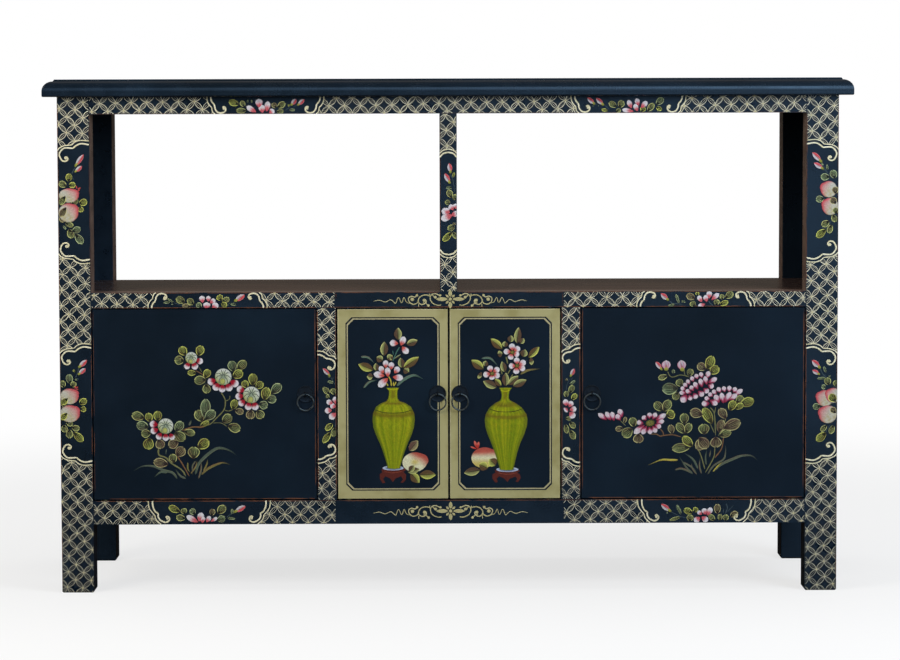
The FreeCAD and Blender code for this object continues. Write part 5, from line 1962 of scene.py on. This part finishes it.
@dataclass(frozen=True)
class VaseDoor:
    """One leaf of the middle pair: bronze border, fine line, vase of blossom on a stand, and a fruit."""

    body: str
    left: float
    right: float
    seed: int
    spray: Spray
    vase: tuple[Place, ...]
    stand: tuple[Point, ...]
    saucer: Fruit
    fruit: Fruit
    fruit_leaves: dict[Tint, tuple[Stroke, ...]]
    crown: tuple[Stroke, ...] = ()
    low: float = 140.5
    high: float = 427.0
    arris: float = 0.75
    band: float = 12.0
    gap: float = 1.7
    fine: float = 1.7
    cut: float = 9.0

    def eight_sided(self, inset: float) -> list[Point]:
        """Give the corners of the door's outline, inset and with cut corners."""
        x0, x1 = self.left + inset, self.right - inset
        z0, z1 = self.low + inset, self.high - inset
        cut = self.cut
        return [(x0 + cut, z0), (x1 - cut, z0), (x1, z0 + cut), (x1, z1 - cut), (x1 - cut, z1),
                (x0 + cut, z1),
                (x0, z1 - cut), (x0, z0 + cut)]

    def border(self) -> None:
        """Lay the bronze border, the fine line inside it, and a painted highlight along the door's left and
        top edges.
        """
        x0, x1 = self.left + self.arris, self.right - self.arris
        z0, z1 = self.low + self.arris, self.high - self.arris
        outer, inner = self.eight_sided(self.arris), self.eight_sided(self.arris + self.band)
        for number, corner in ((8, (x0, z0)), (6, (x0, z1)), (4, (x1, z1)), (2, (x1, z0))):
            outer.insert(number, corner)
            inner.insert(number, between(inner[number - 1], inner[number % len(inner)], 0.5))
        layer = PaintLayer(f"border_{self.body}", self.seed + 50, BORDER_PAINT, self.body)
        layer.ribbon(outer, inner, Pigment.GOLD.colour)
        layer.make()
        layer = PaintLayer(f"border_line_{self.body}", self.seed + 60, body=self.body)
        inset = self.arris + self.band + self.gap
        layer.ribbon(self.eight_sided(inset), self.eight_sided(inset + self.fine), linear("#b4ac84"))
        # painted highlight: pale lines along the door's left and top edges stand in for light caught by its
        # arrises
        layer.coat = 2.2
        for path in ([(x0 + 1.0, self.low + 4.0), (x0 + 1.0, z1 - 1.0)],
                     [(x0 + 1.0, z1 - 0.8), (self.right - 3.0, z1 - 0.8)]):
            layer.line(smooth_path(path, 24), 0.8, linear("#c6bf98"), wobble=0.3)
        layer.make()

    def stand_and_saucer(self, layer: PaintLayer) -> None:
        """Paint the carved stand and the pale saucer on it.

        Args:
            layer: the paint that it goes on.
        """
        layer.sheet(self.stand, Pigment.STAND.colour)
        layer.next_coat()
        x, z, wide, high = self.saucer
        low = z - high - 1.5
        layer.line(smooth_path([(x - 0.85 * wide, low), (x, low - 2.1), (x + 0.85 * wide, low)], 6), 1.1,
                   Pigment.STAND_LIGHT.colour)
        china, shade = Pigment.CHINA.colour, linear("#66708a")
        layer.dome((x, z), (wide, high), lambda r, a: blend(shade, china, ramp(0.5, 0.95, r)), grid=(5, 36))
        layer.next_coat()

    def ripe_fruit(self, layer: PaintLayer) -> None:
        """Paint the fruit beside the vase with its leaves.

        Args:
            layer: the paint that it goes on.
        """
        x, z, wide, high = self.fruit
        pale, red, gold = linear("#dcd9b4"), linear("#b8382e"), linear("#c8b766")

        def shade(r: float, angle: float) -> Colour:
            """Give the colour at a share of the radius and an angle.

            Args:
                r: share of the radius.
                angle: direction from the middle.

            Returns:
                The colour.
            """
            up, side = r * math.sin(angle), r * math.cos(angle)
            blush = ramp(-0.05, 0.6, up) if self.crown else ramp(0.0, 0.8, 0.75 * up + 0.65 * side)
            colour = blend(pale, gold, ramp(0.1, -0.6, up) if self.crown else ramp(0.5, 0.0, r))
            return blend(blend(colour, red, 0.9 * blush), linear("#7c2420"), 0.35 * blush * ramp(0.5, 1.0, r))

        for stroke in self.crown:
            layer.petal(stroke, red, red, linear("#d0685a"))
        layer.dome((x, z), (wide, high), shade, 0.15, (9, 36),
                   outline=lambda a: (0.97 + 0.12 * ramp(0.8, 1.0, math.cos(a - 0.35))
                                      + 0.03 * math.cos(2 * a - 1.0)))
        layer.next_coat()
        layer.lay_leaves([(stroke, tint) for tint, stroke in strokes_of(self.fruit_leaves)], False)

    def profile(self) -> list[Place]:
        """Give the vase's rows, about 3 mm apart: height, middle and half width."""
        rows = []
        for upper, lower in zip(self.vase, self.vase[1:]):
            steps = max(1, round(abs(lower[0] - upper[0]) / 3.0))
            rows += [tuple(a + (b - a) * i / steps for a, b in zip(upper, lower)) for i in range(steps)]
        return rows + [self.vase[-1]]

    def vessel(self, layer: PaintLayer) -> None:
        """Paint the vase row by row, with streaks down its body and brown bands at the shoulder.

        Args:
            layer: the paint that it goes on.
        """
        olive, light, brown, dark = (Pigment.VASE.colour, Pigment.VASE_LIGHT.colour,
                                     Pigment.VASE_BROWN.colour,
                                     linear("#4c5518"))
        profile = self.profile()
        top, foot = profile[0][0], profile[-1][0]
        shoulder = top - 0.155 * (top - foot)
        columns = side_steps(35)
        rows = [[(profile[0][1], top)], *([(c + w * v, z - 0.9 * (1 - v * v)) for v in columns]
                                          for z, c, w in profile),
                [(profile[-1][1], foot - 1.2)]]
        streaks = [layer.hand.uniform(-1.0, 1.0) for _ in columns]

        def shade(u: float, v: float) -> Colour:
            """Give the colour at a share along and a share across.

            Args:
                u: share along, 0 to 1.
                v: share across, -1 to 1.

            Returns:
                The colour.
            """
            z = top - (top - foot) * u
            streak = streaks[round((v + 1.0) * 17)]
            patch = 0.5 + 0.5 * math.sin(0.55 * z + 9.0 * streak)
            colour = blend(olive, light, 0.3 + 0.35 * streak + 0.35 * patch * ramp(0.75, 0.2, u))
            colour = blend(colour, dark, 0.7 * ramp(0.72, 1.0, abs(v)))
            under = shoulder - 17.0 - 3.5 * (1.0 - v * v)
            colour = blend(colour, brown, 0.75 * ramp(3.4, 0.5,
                                                      abs(z - shoulder + 4.5 + 2.0 * (1.0 - v * v))))
            colour = blend(colour, brown, 0.7 * ramp(5.0, 0.5, abs(z - under + 3.0)) * (z < under + 1.5))
            return blend(colour, brown, 0.55 * ramp(top - 3.0, top - 6.0, z) * ramp(0.75, 0.2, abs(v))
                         * (z > shoulder))

        layer.pad(rows, shade, crown=0.35)
        layer.next_coat()
        layer.coat += 3.0
        z, c, w = profile[1]
        layer.line(smooth_path([(c - w, z), (c, z - 1.4), (c + w, z)], 5), 1.5, light)
        z, c, w = min(profile, key=lambda row: abs(row[0] - (shoulder - 15.0)))
        ring = [(c + share * w, z + rise) for share, rise in ((-0.97, 2.0), (-0.5, -2.0), (0.0, -3.0),
                                                              (0.5, -2.0),
                                                              (0.97, 2.0))]
        layer.line(smooth_path(ring, 6), 0.9, linear("#2c2a12"))
        layer.next_coat()

    def dress(self) -> None:
        """Paint the border, then the vase with its flowers, stand and fruit."""
        self.border()
        layer = PaintLayer(f"vase_{self.body}", self.seed, body=self.body)
        self.stand_and_saucer(layer)
        self.ripe_fruit(layer)
        self.vessel(layer)
        self.spray.paint(layer)
        layer.make()


VASE_LEAF_LEFT = {
    Tint.BROWN: ((-59.9, 213.3, -46.9, 228.0, 12.2),),
    Tint.YELLOW: ((-44.6, 177.2, -20.5, 177.1, 13.8), (-57.6, 179.7, -45.5, 164.9, 13.0)),
    Tint.OLIVE: ((-62.5, 181.4, -44.6, 185.4, 9.7), (-60.1, 181.4, -52.7, 191.2, 8.9)),
}
VASE_LEAF_RIGHT = {
    Tint.OLIVE: ((46.7, 183.7, 22.8, 179.7, 12.7),),
    Tint.YELLOW: ((58.1, 186.1, 45.1, 192.7, 13.8), (70.3, 191.0, 60.6, 200.0, 14.6)),
}
LEFT_VASE_DOOR = VaseDoor(
    "door_centre_left", -167.2, -0.75, 31, LEFT_VASE_SPRAY,
    vase=(
        (308.2, -84.3, 10.1), (306.5, -83.9, 8.1), (303.3, -83.3, 6.4), (297.6, -83.6, 6.4),
        (291.8, -84.0, 7.3),
        (288.1, -83.8, 10.0), (285.3, -83.2, 17.8), (279.7, -83.2, 26.0), (269.9, -83.0, 30.9),
        (260.1, -82.9, 31.8),
        (248.6, -83.0, 30.5), (237.2, -82.8, 26.7), (225.7, -82.8, 21.5), (214.2, -82.7, 17.1),
        (202.8, -82.9, 13.4),
        (192.9, -82.8, 10.6), (187.2, -83.0, 9.5),
    ),
    stand=(
        (-99.9, 187.2), (-66.5, 187.1), (-64.9, 183.8), (-69.0, 181.4), (-64.5, 177.3), (-65.0, 169.9),
        (-69.1, 165.0), (-73.1, 165.4), (-69.1, 169.9), (-72.3, 174.9), (-80.4, 171.6), (-84.5, 165.9),
        (-88.6, 171.6), (-95.9, 174.9), (-99.2, 170.8), (-95.9, 165.1), (-100.0, 164.3), (-104.1, 171.7),
        (-104.0, 178.2), (-99.9, 180.7), (-101.6, 184.0),
    ),
    saucer=(-84.0, 187.2, 15.9, 3.6),
    fruit=(-51.5, 196.1, 18.7, 15.4),
    fruit_leaves=VASE_LEAF_LEFT,
)
RIGHT_VASE_DOOR = VaseDoor(
    "door_centre_right", 0.75, 167.2, 32, RIGHT_VASE_SPRAY,
    vase=(
        (307.7, 85.0, 9.9), (303.6, 84.5, 6.8), (297.1, 84.5, 5.5), (292.2, 84.2, 5.6), (288.6, 84.3, 7.3),
        (284.9, 84.7, 15.0), (277.6, 85.1, 24.4), (267.8, 85.7, 30.6), (259.7, 85.8, 32.1),
        (249.0, 85.6, 31.1),
        (236.8, 85.5, 27.2), (225.3, 85.2, 22.2), (212.2, 85.4, 17.5), (199.1, 85.8, 13.8),
        (189.3, 86.4, 11.2),
        (184.4, 86.2, 10.1),
    ),
    stand=(
        (70.3, 184.4), (104.5, 184.3), (106.1, 181.8), (102.0, 179.7), (106.4, 176.9), (107.4, 171.2),
        (103.6, 165.5), (99.6, 166.0), (102.5, 170.4), (99.6, 173.7), (90.6, 170.4), (87.4, 165.5),
        (83.3, 170.5), (75.2, 174.6), (71.1, 170.5), (73.2, 165.6), (69.5, 164.8), (65.1, 170.5),
        (65.1, 177.1), (70.0, 179.8), (68.7, 182.0),
    ),
    saucer=(87.4, 184.4, 16.6, 3.6),
    fruit=(52.4, 202.5, 19.1, 16.2),
    fruit_leaves=VASE_LEAF_RIGHT,
    crown=((42.7, 215.6, 37.9, 227.9, 4.2), (43.0, 215.6, 44.4, 226.7, 3.9), (41.9, 215.3, 32.1, 219.2, 2.6)),
)


@dataclass(frozen=True)
class RubbedEdges:
    """The arrises where the black has worn through to the red-brown undercoat, as broken thin lines.

    Each edge is x0, z0, x1, z1, width and how much of it is worn.
    """

    name: str
    body: str
    seed: int
    edges: tuple[tuple[float, float, float, float, float, float], ...]

    def dress(self) -> None:
        """Lay the worn lines."""
        layer = PaintLayer(self.name, self.seed, body=self.body)
        layer.coat = 0.0
        brown, dull = linear("#764a32"), linear("#42291a")
        for x0, z0, x1, z1, width, worn in self.edges:
            start, end = (x0, z0), (x1, z1)
            length = math.dist(start, end)
            at = layer.hand.uniform(0.0, 20.0)
            while at < length - 4.0:
                run = min(layer.hand.uniform(25.0, 160.0) * worn, length - at)
                count = max(3, int(run / 7.0))
                path = [between(start, end, (at + run * i / count) / length) for i in range(count + 1)]
                colour = blend(dull, brown, layer.hand.uniform(0.45, 1.0))
                layer.line(path, width, colour, (0.2, 0.2), wobble=0.35)
                at += run + layer.hand.uniform(1.0, 45.0) * (1.0 - worn)
        layer.make()


FRAME_EDGES = (
    (-534.0, 718.6, 534.0, 718.6, 0.8, 0.6),
    (-534.0, 451.3, -13.0, 451.3, 1.3, 0.85),
    (13.0, 451.3, 534.0, 451.3, 1.3, 0.85),
    (-534.0, 429.3, 534.0, 429.3, 1.5, 0.9),
    (-534.0, 138.1, 534.0, 138.1, 1.6, 0.95),
    (-535.2, 144.0, -535.2, 425.0, 1.0, 0.6),
    (535.2, 144.0, 535.2, 425.0, 1.5, 0.95),
    (-535.2, 454.0, -535.2, 716.0, 0.8, 0.4),
    (535.2, 454.0, 535.2, 716.0, 1.2, 0.8),
    (-196.2, 141.0, -196.2, 427.0, 1.8, 0.97),
    (-169.5, 141.0, -169.5, 427.0, 1.4, 0.9),
    (169.5, 141.0, 169.5, 427.0, 1.5, 0.95),
    (196.2, 141.0, 196.2, 427.0, 1.8, 0.97),
    (-12.2, 455.0, -12.2, 716.0, 1.1, 0.85),
    (-581.6, 4.0, -581.6, 740.0, 0.9, 0.55),
    (581.6, 4.0, 581.6, 740.0, 0.8, 0.4),
    (-168.6, 430.8, -168.6, 451.0, 1.2, 1.0),
    (170.6, 430.8, 170.6, 451.0, 1.2, 1.0),
)
DOOR_EDGES = {
    "door_left": ((-200.2, 142.0, -200.2, 425.6, 1.7, 0.97), (-531.5, 141.8, -201.5, 141.8, 1.6, 0.95),
                  (-531.6, 143.0, -531.6, 424.0, 0.9, 0.5)),
    "door_right": ((200.2, 142.0, 200.2, 425.6, 1.7, 0.97), (201.5, 141.8, 531.5, 141.8, 1.6, 0.95),
                   (531.6, 143.0, 531.6, 424.0, 1.6, 0.95)),
}




@dataclass(frozen=True)
class RingPull:
    """A forged ring on its round back plate; lengths in metres."""

    side: str
    wire: float = 0.0013
    hang: float = 0.0122
    section: int = 14
    turns: int = 72
    rim: int = 64
    profile: tuple[Point, ...] = ((0.14, 0.55), (0.3, 0.62), (0.55, 0.66), (0.76, 0.62), (0.86, 0.7),
                                  (0.92, 0.95),
                                  (0.96, 1.0), (0.99, 0.85), (1.0, 0.55), (1.0, 0.0))

    def ring(self) -> None:
        """Forge the ring: a round wire a little uneven by the hammer."""
        low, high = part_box(f"pull_ring_{self.side}")
        cx, cy, cz = (low[0] + high[0]) / 2, (low[1] + high[1]) / 2, low[2] + self.wire + self.hang
        hand = random.Random(f"ring {self.side}")
        shift = [hand.uniform(0.0, 6.28) for _ in range(3)]
        corners, faces = [], []
        for i in range(self.turns):
            angle = FULL_TURN * i / self.turns
            wire = self.wire * (0.95 + 0.03 * math.sin(3 * angle + shift[0])
                                + 0.02 * math.sin(7 * angle + shift[1]))
            for j in range(self.section):
                turn = FULL_TURN * j / self.section
                reach = self.hang - 0.00004 + wire * math.cos(turn)
                corners.append((cx + reach * math.sin(angle), cy + wire * math.sin(turn),
                                cz + reach * math.cos(angle)))
                here, on = i * self.section, (i + 1) % self.turns * self.section
                m = (j + 1) % self.section
                faces.append((here + j, here + m, on + m, on + j))
        self.forge("forged_ring", corners, faces, "ring", "pull_ring", RING_IRON)

    def plate(self) -> None:
        """Beat the back plate: a shallow dished disc with a rolled rim."""
        low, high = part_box(f"pull_plate_{self.side}")
        cx, cz = (low[0] + high[0]) / 2, (low[2] + high[2]) / 2
        radius, back, front = (high[0] - low[0]) / 2, high[1], low[1]
        depth = back - front
        corners, faces = [(cx, front + depth * 0.45, cz)], []
        hand = random.Random(f"plate {self.side}")
        for share, rise in self.profile:
            for j in range(self.rim):
                beat = hand.uniform(-0.03, 0.03) if share < 0.9 else 0.0
                x, z = around((cx, cz), radius * share, FULL_TURN * j / self.rim)
                corners.append((x, back - depth * min(1.0, rise + beat), z))
        for j in range(self.rim):
            k = (j + 1) % self.rim
            faces.append((0, 1 + k, 1 + j))
            for a in range(1, 1 + (len(self.profile) - 1) * self.rim, self.rim):
                faces.append((a + j, a + k, a + self.rim + k, a + self.rim + j))
        last = 1 + (len(self.profile) - 1) * self.rim
        faces.append(tuple(last + j for j in reversed(range(self.rim))))
        self.forge("beaten_plate", corners, faces, "door", "pull_plate", BLACK_IRON)

    def forge(self, kind: str, corners: list[Place], faces: list[tuple[int, ...]], body: str, node: str,
              material: Material) -> None:
        """Make one iron piece, smooth but for its flat back, in the place of its CAD node.

        Args:
            kind: the first part of the piece's name.
            corners: its corners in metres.
            faces: its faces.
            body: the body that carries it, without the side.
            node: its CAD node, without the side.
            material: its iron.
        """
        mesh = bpy.data.meshes.new(f"{kind}_{self.side}")
        mesh.from_pydata(corners, [], faces)
        mesh.materials.append(material)
        for face in mesh.polygons:
            face.use_smooth = len(face.vertices) < 5
        add_piece(mesh.name, mesh, f"{body}_{self.side}", f"{node}_{self.side}")

    def dress(self) -> None:
        """Make the ring and its plate; the split eye keeps its own node."""
        self.ring()
        self.plate()


@dataclass(frozen=True)
class Dressing:
    """Which finish each node of the frame carries; what is not named is black frame lacquer."""

    finishes: dict[str, Material]

    def dress(self) -> None:
        """Give every carried-over node its finish."""
        for node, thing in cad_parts.items():
            material = next((value for start, value in self.finishes.items() if node.startswith(start)),
                            FRAME_LACQUER)
            if not thing.material_slots:
                thing.data.materials.append(material)
            for slot in thing.material_slots:
                slot.material = material
            report.info("%s: %s", node, material.name)


@dataclass(frozen=True)
class Studio:
    """Camera, pale floor, lamps and the white surround."""

    eye: Place = (-0.0163, -4.9558, 0.7414)
    yaw: float = math.radians(0.2193)
    pitch: float = math.radians(4.1618)
    roll: float = math.radians(-0.1622)
    lens: float = 127.70
    film: float = 36.0
    half_floor: float = 14.0
    tiles: int = 24

    def camera(self) -> None:
        """Place the camera where the photograph was taken from."""
        ahead = Vector((math.sin(self.yaw) * math.cos(self.pitch), math.cos(self.yaw) * math.cos(self.pitch),
                        -math.sin(self.pitch)))
        right = Vector((math.cos(self.yaw), -math.sin(self.yaw), 0.0))
        up = right.cross(ahead)
        side = right * math.cos(self.roll) + up * math.sin(self.roll)
        top = up * math.cos(self.roll) - right * math.sin(self.roll)
        data = bpy.data.cameras.new("camera")
        data.lens, data.sensor_width, data.sensor_fit = self.lens, self.film, "HORIZONTAL"
        data.clip_end = 200.0
        camera = add_object("camera", data)
        camera.matrix_world = Matrix.Translation(self.eye) @ Matrix((side, top, -ahead)).transposed().to_4x4()
        bpy.context.scene.camera = camera

    @staticmethod
    def lamp(name: str, place: Place, target: Place, size: Point, power: float,
             code: str = "#ffffff") -> None:
        """Hang one soft rectangular lamp, aimed at a target; it leaves no highlight of its own.

        Args:
            name: the lamp's name.
            place: where it hangs, in metres.
            target: the point that it is aimed at.
            size: width and height in metres.
            power: its power in watts.
            code: its colour as sRGB hex.
        """
        data = bpy.data.lights.new(name, "AREA")
        data.shape, data.size, data.size_y, data.energy = "RECTANGLE", *size, power
        data.color = linear(code)
        lamp = add_object(name, data)
        lamp.visible_glossy = False
        aim = (Vector(target) - Vector(place)).to_track_quat("-Z", "Y")
        lamp.matrix_world = Matrix.Translation(place) @ aim.to_matrix().to_4x4()

    def lamps(self) -> None:
        """Light the front softly from both sides at the height of the top, brighter and cooler from the
        right.
        """
        self.lamp("top_softbox", (0.1, 0.0, 3.0), (0.0, 0.0, 0.5), (2.4, 1.6), 34.0)
        self.lamp("right_softbox", (1.6, -1.6, 1.2), (0.45, -0.19, 1.15), (0.9, 0.9), 33.5, "#e8f1ff")
        self.lamp("left_softbox", (-1.6, -1.6, 1.25), (-0.45, -0.19, 1.15), (0.9, 0.9), 27.0, "#fff8ee")

    @staticmethod
    def surround() -> None:
        """Make the surround white to the eye and in transmission, and a dim room to the lacquer."""
        world = bpy.data.worlds.new("surround")
        bpy.context.scene.world = world
        world.use_nodes = True
        tree = world.node_tree
        tree.nodes.clear()
        path = add_node(tree, "ShaderNodeLightPath").outputs
        generated = add_node(tree, "ShaderNodeTexCoord").outputs["Generated"]
        way = add_node(tree, "ShaderNodeSeparateXYZ", {0: generated}).outputs
        behind = reckon(tree, "MULTIPLY", level(tree, way["Y"], 0.2, 0.9), level(tree, way["Z"], 0.1, 0.5))
        glossy = reckon(tree, "MULTIPLY", path["Is Glossy Ray"], reckon(tree, "MULTIPLY", behind, 0.2))
        seen = reckon(tree, "MAXIMUM", path["Is Camera Ray"], path["Is Transmission Ray"])
        seen = reckon(tree, "MAXIMUM", seen, glossy)
        side = level(tree, way["X"], -0.02, 0.17, 0.12, 1.4)
        for axis, *run in (("Z", -0.1, 0.06, 0.12, 1.0), ("Z", 0.08, 0.36, 1.0, 3.6),
                           ("Z", 0.5, 0.66, 1.0, 0.05),
                           ("X", 0.28, 0.42, 1.0, 0.2)):
            side = reckon(tree, "MULTIPLY", side, level(tree, way[axis], *run))
        front = level(tree, way["Y"], -0.3, 0.4, 1.0, 0.0)
        side = mix(tree, front, level(tree, way["Z"], -0.06, 0.03, 0.015, 0.14), side, "FLOAT")
        fill = level(tree, way["Z"], -0.3, 0.3, 0.16, 0.42)
        strength = mix(tree, path["Is Glossy Ray"], fill, side, "FLOAT")
        cool = mix(tree, front, rgba("#cdbdaa"), rgba("#9fcdfa"))
        tone = mix(tree, path["Is Glossy Ray"], rgba("#e8eaee"), cool)
        room = add_node(tree, "ShaderNodeBackground", {"Color": tone, "Strength": strength})
        white = add_node(tree, "ShaderNodeBackground", {"Color": WHITE, "Strength": 1.0})
        both = add_node(tree, "ShaderNodeMixShader", {0: seen, 1: room.outputs[0], 2: white.outputs[0]})
        add_node(tree, "ShaderNodeOutputWorld", {"Surface": both.outputs[0]})

    def floor(self) -> None:
        """Lay a pale matt floor that fades to the white surround and keeps the object's shadow."""
        step = self.tiles + 1
        steps = [self.half_floor * share for share in side_steps(step)]
        faces = [(k, k + 1, k + 1 + step, k + step)
                 for k in (j * step + i for j in range(self.tiles) for i in range(self.tiles))]
        mesh = bpy.data.meshes.new("floor")
        mesh.from_pydata([(x, y, 0.0) for y in steps for x in steps], [], faces)
        material = bpy.data.materials.new("matt_white_studio_floor")
        material.use_nodes = True
        tree = material.node_tree
        shader = tree.nodes["Principled BSDF"]
        shader.inputs["Base Color"].default_value = rgba("#e8e8e6")
        shader.inputs["Roughness"].default_value = 0.9
        shader.inputs["Specular IOR Level"].default_value = 0.1
        where = add_node(tree, "ShaderNodeTexCoord").outputs["Object"]
        far = add_node(tree, "ShaderNodeVectorMath", {0: where}, operation="LENGTH").outputs["Value"]
        fade = level(tree, far, 0.9, 2.6, 0.72, interpolation_type="SMOOTHSTEP")
        share = reckon(tree, "MULTIPLY", fade, add_node(tree, "ShaderNodeLightPath").outputs["Is Camera Ray"])
        glow = add_node(tree, "ShaderNodeEmission", {"Color": WHITE, "Strength": 1.0})
        both = add_node(tree, "ShaderNodeMixShader", {0: share, 1: shader.outputs[0], 2: glow.outputs[0]})
        tree.links.new(both.outputs[0], tree.nodes["Material Output"].inputs["Surface"])
        mesh.materials.append(material)
        floor = add_object("floor", mesh)
        floor.visible_glossy = floor.visible_diffuse = False

    def dress(self) -> None:
        """Set up the whole studio."""
        bpy.context.scene.view_settings.view_transform = "Standard"
        self.camera()
        self.lamps()
        self.surround()
        self.floor()


def main() -> None:
    """Dress the sideboard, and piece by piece."""
    Studio().dress()
    Dressing({
        "shelf_board": STAINED_WOOD, "floor_board": STAINED_WOOD, "centre_panel": STAINED_WOOD,
        "compartment_wall": STAINED_WOOD, "top_buttons": BARE_WOOD, "fixing_screws": STEEL,
        "pivot_pins": STEEL,
        "strike_plate": STEEL, "top_board": TOP_LACQUER, "pivot_bushes": BRASS,
        "magnet_catches": CATCH_PLASTIC,
        "pull_": BLACK_IRON, "door_": DOOR_LACQUER,
    }).dress()
    for board in LATTICE_BOARDS:
        board.dress()
    Arabesque("arabesque_mid_rail", (2.4, 441.0), 41, 0.99).dress()
    Arabesque("arabesque_bottom_rail", (2.1, 122.0), 42, 1.0).dress()
    RubbedEdges("rubbed_edges_frame", "carcass", 51, FRAME_EDGES).dress()
    for number, (body, edges) in enumerate(DOOR_EDGES.items()):
        RubbedEdges(f"rubbed_edges_{body}", body, 52 + number, edges).dress()
    SideDoor("door_left", 21, LEFT_DOOR_SPRAY).dress()
    SideDoor("door_right", 22, RIGHT_DOOR_SPRAY).dress()
    LEFT_VASE_DOOR.dress()
    RIGHT_VASE_DOOR.dress()
    for side in ("left", "centre_left", "centre_right", "right"):
        RingPull(side).dress()


if __name__ == "__main__":
    main()
